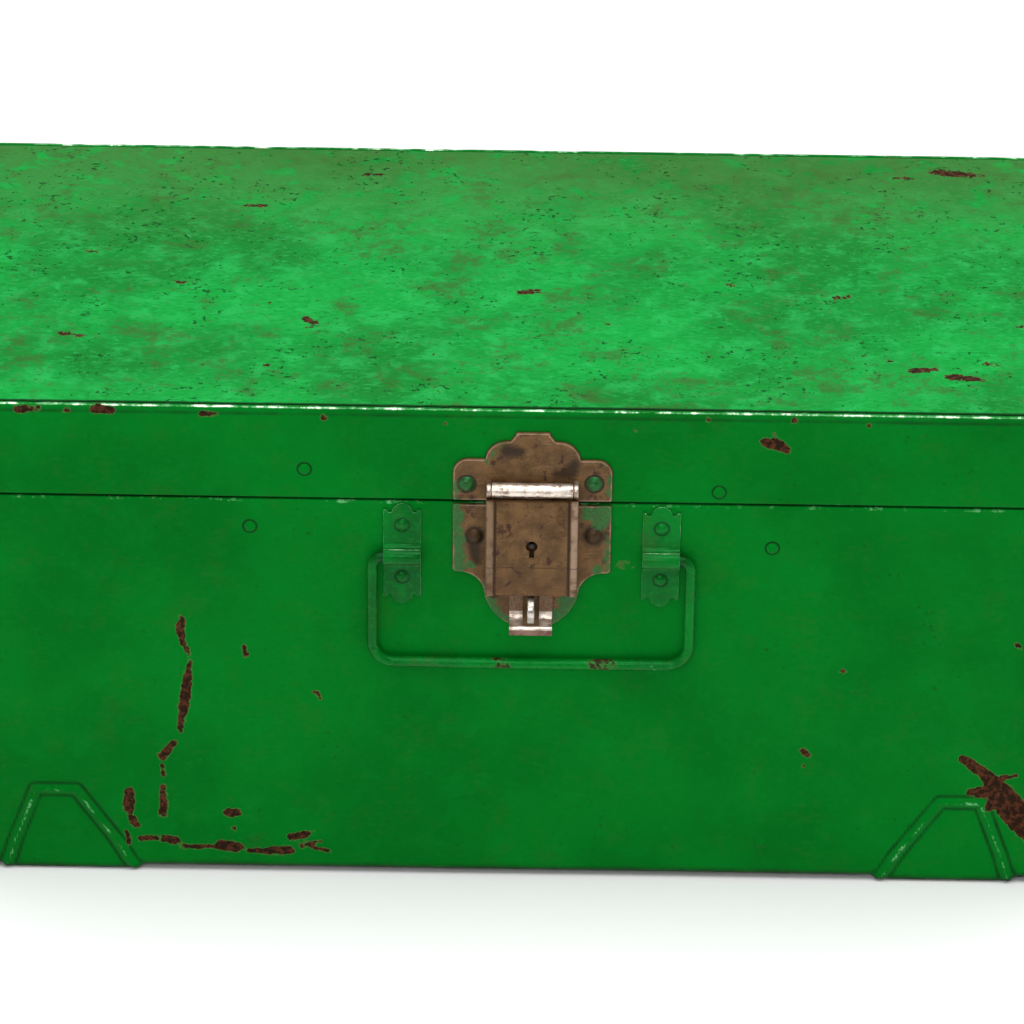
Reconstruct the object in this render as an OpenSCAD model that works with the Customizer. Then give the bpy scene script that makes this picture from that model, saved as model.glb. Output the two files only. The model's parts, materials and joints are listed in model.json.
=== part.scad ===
// Sheet steel toolbox: a case with a hinged lid, a lift-out tray, a bail handle and a hasp lock.
// The origin is on the ground under the middle of the box; +Z is up and the front faces -Y.

/* [Box] */
// Width of the box
box_w = 432; // [360:1:520]
// Depth of the box, from front sheet to back sheet
box_d = 234; // [180:1:270]
// Height of the closed box
box_h = 196; // [170:1:230]
// Height of the lid above the seam
lid_h = 37; // [33:1:45]
// Thickness of the sheet steel
sheet = 0.9; // [0.7:0.1:1.1]
// Gap between the lid and the case
seam_gap = 1; // [0.6:0.1:1.4]
// Depth of the folded hem along the top edge of the case
hem_h = 7; // [5:0.5:8]
// Outer radius of the bend between the bottom and the walls
bend_r = 3; // [2:0.5:4]
// Width of the flange that joins each end panel to the wrap
end_flange = 12; // [8:1:16]

/* [Pressed corners] */
// Height of the pressed feet
foot_h = 1.8; // [1.2:0.1:2.4]
// Width of a foot along the box
foot_w = 52; // [40:1:60]
// Depth of a foot from the front or back sheet
foot_d = 44; // [30:1:60]
// Distance from the end of the box to the outer side of a foot
foot_inset = 26; // [12:1:32]
// Height of the raised triangle over each foot
bead_h = 35; // [25:1:42]
// Width of the flat top of the triangle
bead_top = 15; // [10:1:20]
// How far the top leans towards the end of the box
bead_lean = 5; // [0:0.5:8]
// Width of the raised bead
bead_w = 3; // [2.4:0.1:4]
// How far the bead stands out of the sheet
bead_proud = 1; // [0.6:0.1:1.2]

/* [Lid] */
// Width of the rolled rim around the lid top
rim_w = 1.9; // [1.6:0.1:2.4]
// Crevice between the rim and the top panel
crevice = 0.8; // [0.5:0.1:1.2]
// Width of the flange that carries the top panel
lid_flange = 12; // [8:1:16]
// Height of the locating lip's part inside the lid
lip_up = 17; // [15:1:20]
// How far the locating lip reaches into the case
lip_down = 6; // [4:0.5:9]
// Distance of the lip from the ends of the box
lip_inset = 14; // [10:1:30]
// Distance of the lip's rivets from the middle of the box
lip_rivet_x = 75; // [60:1:90]

/* [Hinges] */
// Width of a hinge
hinge_w = 30; // [24:1:40]
// Distance from the end of the box to the middle of a hinge
hinge_inset = 85; // [50:1:110]
// Height of the leaf below and above the pin
leaf_h = 25; // [22:1:29]
// Thickness of a hinge leaf
leaf_t = 1.4; // [1.2:0.1:1.6]
// Radius of the hinge pin
pin_r = 1.5; // [1.2:0.1:1.8]
// Outer radius of the hinge knuckle
knuckle_r = 3.1; // [2.8:0.1:3.6]
// Angle at which the heel stops the lid
lid_stop = 105; // [95:1:110]
// Length of the stop heel from the pin's axis
heel_len = 7.7; // [7:0.1:12]

/* [Lock] */
// Distance of the lock and the handle to the right of the middle
lock_x = 7.5; // [0:0.5:15]
// Width of the lock plates
lock_w = 57.8; // [52:0.2:68]
// Thickness of the lock plates
lock_t = 1.2; // [1:0.1:1.4]
// Height of the upper plate above the seam
upper_h = 28.4; // [27:0.1:30]
// Depth of the lower plate below the seam
lower_h = 51.9; // [50.5:0.1:60]
// Width of the hasp's cover
cover_w = 33.3; // [30:0.1:36]
// How far the cover reaches below the seam
cover_drop = 34.3; // [33.5:0.1:35]
// How far the cover stands out of the box
cover_out = 8; // [7.5:0.1:9]
// Height of the two side rims of the cover
cover_rim = 0.7; // [0.4:0.1:1]
// Width of each side rim
cover_rim_w = 3.2; // [2.5:0.1:4]
// Height of the hasp's pin above the seam
hasp_pin_z = 6.8; // [6.2:0.1:7.4]
// Distance of the hasp's pin from the front of the box
hasp_pin_out = 4.4; // [4.3:0.1:4.8]
// Radius of the hasp's roller
roller_r = 2.8; // [2.4:0.1:2.9]
// Radius of the hasp's pin
hasp_pin_r = 1.2; // [1:0.1:1.4]
// Distance of the keyhole below the seam
keyhole_drop = 14.2; // [13.5:0.1:15]
// Radius of the round part of the keyhole
keyhole_r = 2.15; // [1.9:0.05:2.6]
// Thickness of the hasp plate and its tongue
tongue_t = 1.2; // [1:0.1:1.3]
// Width of the tongue
tongue_w = 15.6; // [13:0.1:18]
// Width of the slot in the tongue
slot_w = 6; // [5:0.1:7]
// How far the finger lip stands out of the box
lip_out = 9.8; // [9:0.1:11]
// How far the finger lip reaches below the seam
lip_drop = 50.2; // [49.6:0.1:52]
// Thickness of the padlock staple
staple_t = 2.6; // [2:0.1:3.2]
// Outer radius of the padlock staple
staple_r = 5.2; // [5:0.1:5.4]
// Radius of the staple's eye
eye_r = 3; // [2.5:0.1:3.2]
// Distance of the staple below the seam
staple_drop = 41.2; // [41:0.1:41.4]
// Travel of the lock's bolt
bolt_travel = 3.5; // [3:0.1:3.6]
// Radius of the rivet heads on the lock plates
lock_rivet_r = 3; // [2.5:0.1:3.4]

/* [Handle] */
// Outer width of the bail handle
handle_w = 120; // [101:1:148]
// Diameter of the handle's wire
handle_wire = 4; // [3.4:0.1:4.6]
// Reach of the handle from its pivots to the middle of the grip
handle_reach = 43.8; // [38:0.1:54]
// Distance of the pivots below the seam
handle_drop = 22; // [21.5:0.5:27]
// Radius of the bend where a leg turns into the bracket
handle_turn = 4.1; // [3:0.1:5]
// Radius of the bend between a leg and the grip
handle_bend = 8; // [6:0.5:11]
// Width of a handle bracket
bracket_w = 13.6; // [13:0.2:18]
// Height of a handle bracket
bracket_h = 41; // [40:0.5:48]
// Thickness of a handle bracket
bracket_t = 1; // [0.8:0.1:1.2]
// Running clearance of the wire in its loop
loop_clear = 0.08; // [0.05:0.01:0.1]
// Radius of the rivet heads on the brackets
bracket_rivet_r = 2.5; // [2:0.1:3]

/* [Tray] */
// Depth of the tray under its rim
tray_depth = 30; // [25:1:36]
// Distance of the tray's rests below the seam
tray_drop = 26; // [22:0.5:32]
// Thickness of the tray's sheet
tray_t = 0.8; // [0.6:0.1:1]
// Clearance between the tray's rim and the walls of the case
tray_gap = 3; // [2.4:0.1:5]
// Radius of the rolled rim
roll_r = 1.3; // [1:0.1:1.6]
// Corner radius of the tray
tray_corner = 9; // [6:1:12]
// Width of a rest
rest_w = 16; // [12:1:20]
// Distance of the rests from the middle of the box
rest_x = 95; // [70:1:120]
// Height of the dividers
divider_h = 21; // [17:0.5:25]
// Number of small dividers behind the long one
dividers = 3; // [3:1:3]
// Width of the tray's handle, between its legs
bail_w = 140; // [110:1:170]
// Reach of the tray's handle
bail_reach = 42; // [35:1:45]
// Radius of the tray handle's wire
bail_r = 1.75; // [1.5:0.05:2]
// Length of the wooden grip
grip_len = 92; // [76:1:100]
// Clearance of the wire in the grip's bore
grip_clear = 0.25; // [0.2:0.05:0.6]
// Radius of the wooden grip
grip_r = 5; // [4:0.1:5.4]

/* [Hidden] */
$fn = 64;

paint = "green";
bronze = "peru";
steel = "silver";
wood = "burlywood";

// levels of the seam
seam_z = box_h - lid_h;
case_top = seam_z - seam_gap / 2;
lid_bottom = seam_z + seam_gap / 2;
// a cut reaches this far past the face that it goes through
over = 1;
// a rivet's hole is this much wider than its shank
rivet_clear = 0.05;
shank_r = 1.3;
tail_r = 2.1;
tail_h = 0.9;

// the locating lip stands inside the hem of the case
hem_clear = 0.4;
lip_step = 2 * sheet + hem_clear;

// hinges
leaf_clear = 0.4;
knuckle_gap = 0.3;
hinge_back = knuckle_r + 0.2;
hinge_y = box_d / 2 + hinge_back;
hinge_x = box_w / 2 - hinge_inset;
middle_knuckle = hinge_w * 0.42;
heel_gap = 0.05;
hinge_bore_r = pin_r + 0.05;

// lock
plate_gap = 0.3;
hasp_back = lock_t + plate_gap;
cover_wall = 1;
cover_top = hasp_pin_z - roller_r - 0.4;
ear_w = 1.8;
slot_top = cover_drop + 0.6;
striker_drop = 27;
striker_x = 4;
striker_t = 2;
striker_h = 8.4;
striker_out = 7;
bolt_t = 2;
bolt_clear = 0.15;
bolt_back = hasp_back + tongue_t + bolt_clear;
bolt_nose_h = 3;
bolt_len = 18;
stump_x = -8;
stump_r = 1;
post_r = 0.9;
upper_rivets = [[-23.8, 7.5], [22.3, 8.2]];
lower_rivets = [[-20.8, -13.9], [22.3, -12.9]];

// handle
wire_r = handle_wire / 2;
wire_out = wire_r + 0.15;
handle_z = seam_z - handle_drop;
leg_x = handle_w / 2 - wire_r;
bracket_x = leg_x - handle_turn - bracket_w / 2;
loop_r = wire_r + loop_clear;
loop_out_r = loop_r + bracket_t + 0.2;
loop_fillet = 2.2;
bracket_top = 0.9;
bracket_rivets = [-8.9, 12.2];

// tray
rest_z = seam_z - tray_drop;
rest_out = 7.6;
rest_low = foot_h + sheet + bend_r + 2;
rest_rivet_low = 16;
rest_rivet_high = [[-1, 11.6], [1, 17.6]];
tray_rim_x = box_w / 2 - 2 * sheet - tray_gap;
tray_rim_y = box_d / 2 - 2 * sheet - tray_gap;
rim_flange = rest_out + sheet + 0.8 - (2 * sheet + tray_gap);
tray_x = tray_rim_x - rim_flange;
tray_y = tray_rim_y - rim_flange;
tray_top = rest_z + 2 * roll_r;
tray_base = tray_top - tray_depth;
bail_z = tray_top - 5;
bail_turn = 3;
loop_len = 12;
tube_r = bail_r + loop_clear + 1;
long_divider_h = bail_z - tube_r - tray_base - tray_t - 0.3;
bail_loop_x = bail_w / 2 - bail_turn - loop_len / 2;
loop_tab = 12;
loop_tab_t = 1;

// ---------- placing and shared shapes ----------

// stands a sketch in (y, z) up and draws it out along x, starting at from
module along_x(len, from) {
    translate([from, 0, 0]) rotate([90, 0, 90]) linear_extrude(len) children();
}

// puts something on the front sheet: x to the right, y up, z out of the box
module on_front(x, z) {
    translate([x, -box_d / 2, z]) rotate([90, 0, 0]) children();
}

// puts something on the back sheet: y up, z out of the box
module on_back(x, z) {
    translate([x, box_d / 2, z]) rotate([90, 0, 180]) children();
}

// side -1 is the front and side 1 the back
module on_wall(side, x, z) {
    if (side < 0) on_front(x, z) children();
    else on_back(x, z) children();
}

// puts something on the pin's axis of a hinge
module at_hinge(x) {
    translate([x, hinge_y, seam_z]) children();
}

// round bar along x, centred
module bar_x(r, len) {
    rotate([0, 90, 0]) cylinder(r = r, h = len, center = true);
}

// rounded rectangle
module rounded(w, d, r) {
    square([w - 2 * r, d], center = true);
    square([w, d - 2 * r], center = true);
    for (x = [-1, 1], y = [-1, 1]) translate([x * (w / 2 - r), y * (d / 2 - r)]) circle(r);
}

// spherical cap with its base on z = 0
module dome(r, h) {
    ball = (r * r + h * h) / (2 * h);
    intersection() {
        translate([0, 0, h - ball]) sphere(ball);
        cylinder(r = r + over, h = h + over);
    }
}

// rivet through a stack of sheets, with its head on z = 0
module rivet(r, h, grip) {
    dome(r, h);
    translate([0, 0, -grip]) cylinder(r = shank_r, h = grip);
    translate([0, 0, -grip]) mirror([0, 0, 1]) dome(tail_r, tail_h);
}

module rivet_hole(grip) {
    translate([0, 0, -grip - over]) cylinder(r = shank_r + rivet_clear, h = grip + 2 * over);
}

// quarter of a ring of round wire, in the xy plane from +x to +y
module quarter_wire(bend, r) {
    rotate_extrude(angle = 90) translate([bend, 0]) circle(r);
}

// ---------- case ----------

// filled section of the wrap, in (y, z), with both lower corners rounded
module wrap_section(inset, base, top) {
    r = bend_r - inset;
    w = box_d - 2 * inset;
    translate([-w / 2 + r, base]) square([w - 2 * r, r + over]);
    translate([-w / 2, base + r]) square([w, top - base - r]);
    for (s = [-1, 1]) translate([s * (w / 2 - r), base + r]) circle(r);
}

// filled section of the feet: each lies under the front or back bend
module foot_section(inset) {
    r = bend_r - inset;
    top = foot_h + bend_r + sheet;
    for (s = [-1, 1]) mirror([s < 0 ? 1 : 0, 0]) {
        translate([box_d / 2 - foot_d + inset, inset]) square([foot_d - bend_r - inset, top - inset]);
        translate([box_d / 2 - bend_r - over, bend_r]) square([r + over, top - bend_r]);
        translate([box_d / 2 - bend_r, bend_r]) circle(r);
    }
}

module feet(inset) {
    for (x = [-box_w / 2 + foot_inset, box_w / 2 - foot_inset - foot_w])
        along_x(foot_w - 2 * inset, x + inset) foot_section(inset);
}

// raised triangles with flat tops over the feet
module corner_beads() {
    middle = box_w / 2 - foot_inset - foot_w / 2;
    low = bend_r + foot_h + bead_w;
    foot = foot_w / 2 - bead_w;
    line = [
        [-foot, low], [bead_lean - bead_top / 2, bead_h], [bead_lean + bead_top / 2, bead_h], [foot, low]
    ];
    for (side = [-1, 1], end = [-1, 1]) on_wall(side, end * middle, 0) mirror([end == side ? 1 : 0, 0, 0])
        translate([0, 0, -sheet / 2]) linear_extrude(bead_proud + sheet / 2) {
            for (i = [0:2]) {
                run = line[i + 1] - line[i];
                translate(line[i]) rotate(atan2(run.y, run.x)) translate([0, -bead_w / 2])
                    square([norm(run), bead_w]);
            }
            for (i = [1, 2]) translate(line[i]) circle(bead_w / 2);
        }
}

// places its children at every rivet of the tray's rests
module at_rest_rivets() {
    for (side = [-1, 1], spot = rest_rivet_high) {
        on_wall(side, spot[0] * rest_x, seam_z - spot[1]) children();
        on_wall(side, spot[0] * rest_x, rest_rivet_low) children();
    }
}

// places its children at every rivet of the handle's brackets
module at_bracket_rivets() {
    for (x = [-bracket_x, bracket_x], dz = bracket_rivets)
        on_front(lock_x + x, handle_z + dz) children();
}

module at_lower_rivets() {
    for (spot = lower_rivets) on_front(lock_x + spot.x, seam_z + spot.y) children();
}

// places its children at the rivets of both hinges: up is -1 for the case and 1 for the lid
module at_hinge_rivets(up) {
    for (x = [-hinge_x, hinge_x], dx = [-hinge_w * 0.3, hinge_w * 0.3])
        on_back(x + dx, seam_z + up * leaf_h * 0.7) children();
}

module case_wrap() color(paint) {
    difference() {
        union() {
            along_x(box_w, -box_w / 2) wrap_section(0, foot_h, case_top - sheet);
            feet(0);
            corner_beads();
        }
        along_x(box_w + 2 * over, -box_w / 2 - over)
            wrap_section(sheet, foot_h + sheet, case_top + over);
        feet(sheet);
        at_rest_rivets() rivet_hole(sheet);
        at_bracket_rivets() rivet_hole(sheet);
        at_lower_rivets() rivet_hole(sheet);
        at_hinge_rivets(-1) rivet_hole(sheet);
    }
    for (s = [-1, 1]) mirror([0, s < 0 ? 1 : 0, 0]) along_x(box_w, -box_w / 2) {
        translate([box_d / 2 - 2 * sheet, case_top - hem_h]) square([sheet, hem_h - sheet]);
        translate([box_d / 2 - sheet, case_top - sheet]) circle(sheet);
    }
}

module case_end() color(paint) {
    inner_w = box_d - 4 * sheet;
    low_top = case_top - hem_h;
    along_x(sheet, box_w / 2 - sheet) wrap_section(sheet, foot_h + sheet, low_top);
    // the flange ends short of the hem
    along_x(end_flange, box_w / 2 - end_flange) difference() {
        wrap_section(sheet, foot_h + sheet, low_top - sheet);
        wrap_section(2 * sheet, foot_h + 2 * sheet, case_top);
    }
    // the hem lies between the hems of the wrap
    translate([box_w / 2 - sheet, inner_w / 2, 0]) rotate([90, 0, 0]) linear_extrude(inner_w) {
        translate([-sheet, low_top]) square([2 * sheet, hem_h - sheet]);
        translate([0, case_top - sheet]) circle(sheet);
    }
}

module case_end_left() mirror([1, 0, 0]) case_end();
module case_end_right() case_end();

// strip up a wall, with a ledge for the tray's rim and a rib under the ledge
module tray_rest(side, spot) color(paint) {
    rib_h = 9;
    difference() {
        on_wall(side, spot[0] * rest_x, 0) {
            translate([-rest_w / 2, rest_low, -2 * sheet])
                cube([rest_w, case_top - hem_h - over - rest_low, sheet]);
            translate([-rest_w / 2, rest_z - sheet, -sheet - rest_out])
                cube([rest_w, sheet, rest_out]);
            translate([sheet / 2, rest_z - sheet / 2, -1.5 * sheet]) rotate([0, -90, 0])
                linear_extrude(sheet) polygon([[0, 0], [1 + 2 * sheet - rest_out - sheet, 0], [0, -rib_h]]);
        }
        at_rest_rivets() rivet_hole(2 * sheet);
    }
}

module tray_rest_front_left() tray_rest(-1, rest_rivet_high[0]);
module tray_rest_front_right() tray_rest(-1, rest_rivet_high[1]);
module tray_rest_back_left() tray_rest(1, rest_rivet_high[0]);
module tray_rest_back_right() tray_rest(1, rest_rivet_high[1]);
module tray_rest_rivets() color(paint) at_rest_rivets() rivet(2.4, 0.8, 2 * sheet);

// ---------- hinges ----------

// plate against the back sheet, from low to high, measured from the pin's axis
module leaf_plate(x, w, low, high) {
    translate([x - w / 2, -hinge_back, low]) cube([w, leaf_t, high - low]);
}

module hinge_case_leaf(x) color(paint) difference() {
    at_hinge(x) {
        outer_w = (hinge_w - middle_knuckle) / 2 - knuckle_gap;
        leaf_plate(0, hinge_w, -leaf_h, -knuckle_r - leaf_clear);
        for (s = [-1, 1]) {
            leaf_plate(s * (hinge_w - outer_w) / 2, outer_w, -knuckle_r - leaf_clear - 0.1, 0);
            translate([s * (hinge_w - outer_w) / 2, 0, 0]) bar_x(knuckle_r, outer_w);
        }
    }
    at_hinge(x) bar_x(hinge_bore_r, hinge_w + 2 * over);
    at_hinge_rivets(-1) translate([0, 0, leaf_t]) rivet_hole(leaf_t);
}

module hinge_lid_leaf(x) color(paint) difference() {
    at_hinge(x) {
        leaf_plate(0, hinge_w, knuckle_r + leaf_clear, leaf_h);
        leaf_plate(0, middle_knuckle, 0, knuckle_r + leaf_clear + 0.1);
        bar_x(knuckle_r, middle_knuckle);
        rotate([lid_stop, 0, 0]) translate([-middle_knuckle / 2, leaf_t - hinge_back + heel_gap, -heel_len])
            cube([middle_knuckle, leaf_t, heel_len - pin_r - 0.5]);
    }
    at_hinge(x) bar_x(hinge_bore_r, hinge_w + 2 * over);
    at_hinge_rivets(1) translate([0, 0, leaf_t]) rivet_hole(leaf_t);
}

module hinge_case_leaf_left() hinge_case_leaf(-hinge_x);
module hinge_case_leaf_right() hinge_case_leaf(hinge_x);
module hinge_lid_leaf_left() hinge_lid_leaf(-hinge_x);
module hinge_lid_leaf_right() hinge_lid_leaf(hinge_x);
module hinge_pin_left() color(steel) at_hinge(-hinge_x) bar_x(pin_r, hinge_w);
module hinge_pin_right() color(steel) at_hinge(hinge_x) bar_x(pin_r, hinge_w);

module hinge_case_rivets() color(paint)
    at_hinge_rivets(-1) translate([0, 0, leaf_t]) rivet(2.4, 1.1, leaf_t + sheet);

module hinge_lid_rivets() color(paint)
    at_hinge_rivets(1) translate([0, 0, leaf_t]) rivet(2.4, 1.1, leaf_t + sheet);

// ---------- lid ----------

// places its children at the rivets of the locating lip
module at_lip_rivets() {
    on_front(-lip_rivet_x, seam_z + 12) children();
    on_front(lip_rivet_x, seam_z + 5) children();
}

module at_upper_rivets() {
    for (spot = upper_rivets) on_front(lock_x + spot.x, seam_z + spot.y) children();
}

// ring of sheet around the lid, with its rolled rim and the flange under the top panel
module lid_skirt() color(paint) difference() {
    union() {
        difference() {
            translate([0, 0, (lid_bottom + box_h - rim_w / 2) / 2])
                cube([box_w, box_d, box_h - rim_w / 2 - lid_bottom], center = true);
            translate([0, 0, lid_bottom])
                cube([box_w - 2 * sheet, box_d - 2 * sheet, 2 * (lid_h - sheet * 2)], center = true);
            translate([0, 0, box_h]) cube(
                [box_w - 2 * lid_flange, box_d - 2 * lid_flange, 2 * lid_h - over], center = true);
            translate([0, 0, box_h]) cube([box_w - 2 * rim_w, box_d - 2 * rim_w, 2 * sheet], center = true);
        }
        for (s = [-1, 1]) {
            translate([0, s * (box_d - rim_w) / 2, box_h - rim_w / 2]) bar_x(rim_w / 2, box_w - rim_w);
            translate([s * (box_w - rim_w) / 2, 0, box_h - rim_w / 2]) rotate([90, 0, 0])
                cylinder(r = rim_w / 2, h = box_d - rim_w, center = true);
        }
        for (x = [-1, 1], y = [-1, 1])
            translate([x * (box_w - rim_w) / 2, y * (box_d - rim_w) / 2, box_h - rim_w / 2])
                sphere(rim_w / 2);
    }
    at_lip_rivets() rivet_hole(sheet);
    at_upper_rivets() rivet_hole(sheet);
    at_hinge_rivets(1) rivet_hole(sheet);
}

module lid_top() color(paint) {
    inset = rim_w + crevice;
    translate([0, 0, box_h - sheet]) linear_extrude(sheet)
        rounded(box_w - 2 * inset, box_d - 2 * inset, 2);
}

// strip with a step, riveted inside the front of the lid, that guides the lid over the case
module lid_lip() color(paint) {
    w = box_w - 2 * lip_inset;
    step_z = lid_bottom + 1;
    difference() {
        along_x(w, -w / 2) translate([-box_d / 2, 0]) {
            translate([sheet, step_z]) square([sheet, seam_z + lip_up - step_z]);
            translate([sheet, step_z]) square([lip_step, sheet]);
            translate([lip_step, seam_z - lip_down]) square([sheet, step_z + sheet - seam_z + lip_down]);
        }
        at_lip_rivets() rivet_hole(2 * sheet);
        at_upper_rivets() rivet_hole(2 * sheet);
    }
}

module lid_lip_rivets() color(paint) at_lip_rivets() rivet(2.4, 0.8, 2 * sheet);

// ---------- lock on the lid ----------

// outline of the upper plate: stepped shoulders, a full crown and a small tab on sloping sides
module upper_outline() {
    low = seam_gap / 2 + 0.3;
    shoulder_r = 5.5;
    shoulder_z = 17.6;
    crown_x = 17.4;
    crown_z = upper_h - 3.6;
    crown_r = 8;
    tab_x = 6.3;
    translate([-lock_w / 2, low]) square([lock_w, shoulder_z - shoulder_r - low]);
    translate([-lock_w / 2 + shoulder_r, low]) square([lock_w - 2 * shoulder_r, shoulder_z - low]);
    for (s = [-1, 1]) {
        translate([s * (lock_w / 2 - shoulder_r), shoulder_z - shoulder_r]) circle(shoulder_r);
        translate([s * (crown_x - crown_r), crown_z - crown_r]) circle(crown_r);
    }
    translate([-crown_x, low]) square([2 * crown_x, crown_z - crown_r - low]);
    translate([crown_r - crown_x, low]) square([2 * (crown_x - crown_r), crown_z - low]);
    polygon([[-tab_x - 2, crown_z - 1], [tab_x + 2, crown_z - 1], [tab_x + 2, crown_z],
        [tab_x, upper_h - 0.8], [tab_x, upper_h], [-tab_x, upper_h], [-tab_x, upper_h - 0.8],
        [-tab_x - 2, crown_z]]);
}

// places its children on the hasp's pin, in the frame of the front sheet
module at_hasp_pin() {
    on_front(lock_x, seam_z + hasp_pin_z) translate([0, 0, hasp_pin_out]) children();
}

module lock_upper_plate() color(bronze) difference() {
    union() {
        on_front(lock_x, seam_z) linear_extrude(lock_t) upper_outline();
        for (s = [-1, 1]) at_hasp_pin() translate([s * (cover_w - ear_w) / 2, 0, 0]) {
            bar_x(roller_r, ear_w);
            translate([-ear_w / 2, -roller_r, lock_t / 2 - hasp_pin_out])
                cube([ear_w, 2 * roller_r, hasp_pin_out - lock_t / 2]);
        }
    }
    at_hasp_pin() bar_x(hasp_pin_r + 0.03, cover_w + 2 * over);
    at_upper_rivets() translate([0, 0, lock_t]) rivet_hole(lock_t);
}

module lock_upper_rivets() color(bronze)
    at_upper_rivets() translate([0, 0, lock_t]) rivet(lock_rivet_r, 1.5, lock_t + 2 * sheet);

module hasp_pin() color(steel) at_hasp_pin() bar_x(hasp_pin_r, cover_w);

// ---------- hasp ----------

// section of the hasp plate in (y, z) of the front sheet's frame, with y up and z out:
// roller, flat, fillet and finger lip
module hasp_section() {
    flat_x = hasp_back;
    fillet = 3;
    lip_t = 1.3;
    lip_z = -lip_drop + 3.6;
    // flat from the roller down to the fillet
    translate([lip_z + fillet, flat_x]) square([hasp_pin_z - lip_z - fillet, tongue_t]);
    // roller
    translate([hasp_pin_z, hasp_pin_out]) circle(roller_r);
    // quarter bend out to the finger lip
    difference() {
        translate([lip_z - lip_t, flat_x]) square([fillet + lip_t, fillet + tongue_t]);
        translate([lip_z + fillet, flat_x + tongue_t + fillet]) circle(fillet);
        translate([lip_z + fillet, flat_x + tongue_t]) square([over, fillet + over]);
    }
    // level part of the lip and its turned-down edge
    translate([lip_z - lip_t, flat_x + fillet]) square([lip_t, lip_out - lip_t - flat_x - fillet]);
    translate([-lip_drop + lip_t / 2, lip_out - lip_t]) square([lip_drop + lip_z - lip_t * 1.5, lip_t]);
    translate([-lip_drop + lip_t / 2, lip_out - lip_t / 2]) circle(lip_t / 2);
    intersection() {
        translate([lip_z - lip_t, lip_out - lip_t]) circle(lip_t);
        translate([lip_z - lip_t, lip_out - lip_t]) square(lip_t);
    }
}

module hasp_plate() color(steel) {
    roller_w = cover_w - 2 * ear_w - 0.4;
    in_w = cover_w - 2 * cover_wall;
    difference() {
        on_front(lock_x, seam_z) intersection() {
            translate([-cover_w / 2, 0, 0]) rotate([0, 0, 90]) rotate([90, 0, 0])
                linear_extrude(cover_w) hasp_section();
            union() {
                translate([-roller_w / 2, cover_top - 0.01, 0]) cube([roller_w, 2 * roller_r + over, 2 * cover_out]);
                translate([-in_w / 2, -cover_drop, 0]) cube([in_w, cover_drop + cover_top, 2 * cover_out]);
                translate([-tongue_w / 2, -lip_drop, 0]) cube([tongue_w, lip_drop, 2 * cover_out]);
            }
        }
        at_hasp_pin() bar_x(hasp_pin_r + 0.06, cover_w + 2 * over);
        // slot for the padlock staple
        on_front(lock_x, seam_z) translate([-slot_w / 2, -lip_drop + 0.4, 0])
            cube([slot_w, lip_drop - slot_top - 0.4, lip_out - 1.3]);
        // opening for the striker
        on_front(lock_x + striker_x + striker_t / 2, seam_z - striker_drop)
            translate([-striker_t / 2 - 0.6, -striker_h / 2 - 0.7, 0])
                cube([striker_t + 1.2, striker_h + 1.4, 2 * hasp_back + tongue_t]);
    }
}

// pressed box over the lock: side rims, a flat front with the keyhole, open at the back
module hasp_cover() color(bronze) {
    face_h = cover_drop + cover_top;
    edge_r = 0.9;
    difference() {
        on_front(lock_x, seam_z) {
            translate([-cover_w / 2, -cover_drop, hasp_back]) cube([cover_w, face_h, cover_out - hasp_back]);
            for (s = [-1, 1]) translate([s * (cover_w - cover_rim_w) / 2, 0, 0]) {
                translate([-cover_rim_w / 2 + edge_r, -cover_drop, cover_out - edge_r])
                    cube([cover_rim_w - 2 * edge_r, face_h, edge_r + cover_rim]);
                for (e = [-1, 1]) translate([e * (cover_rim_w / 2 - edge_r), cover_top, cover_out + cover_rim - edge_r])
                    rotate([90, 0, 0]) cylinder(r = edge_r, h = face_h);
            }
        }
        on_front(lock_x, seam_z)
            translate([-cover_w / 2 + cover_wall, -cover_drop + cover_wall, 0])
                cube([cover_w - 2 * cover_wall, face_h - 2 * cover_wall, cover_out - cover_wall]);
        // the hasp plate closes the back, so the end walls stop on it
        on_front(lock_x, seam_z)
            translate([-cover_w / 2 + cover_wall, -cover_drop - over, 0])
                cube([cover_w - 2 * cover_wall, face_h + 2 * over, hasp_back + tongue_t]);
        on_front(lock_x, seam_z - keyhole_drop) {
            cylinder(r = keyhole_r, h = 2 * cover_out);
            translate([-keyhole_r * 0.42, -2.2 * keyhole_r, 0]) cube([keyhole_r * 0.84, 2.2 * keyhole_r, 2 * cover_out]);
        }
    }
}

// post that the hollow key turns on
module key_post() color(steel)
    on_front(lock_x, seam_z - keyhole_drop) translate([0, 0, hasp_back + tongue_t]) {
        cylinder(r = post_r, h = cover_out - hasp_back - tongue_t - 0.4);
        cylinder(r = 2 * post_r, h = 0.8);
    }

// stump that guides the bolt in its slot
module bolt_stump() color(steel)
    on_front(lock_x + stump_x, seam_z - striker_drop) translate([0, 0, hasp_back + tongue_t]) {
        cylinder(r = stump_r, h = bolt_t + 3 * bolt_clear);
        translate([0, 0, bolt_t + 2 * bolt_clear]) cylinder(r = stump_r + 0.9, h = 0.7);
    }

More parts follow.
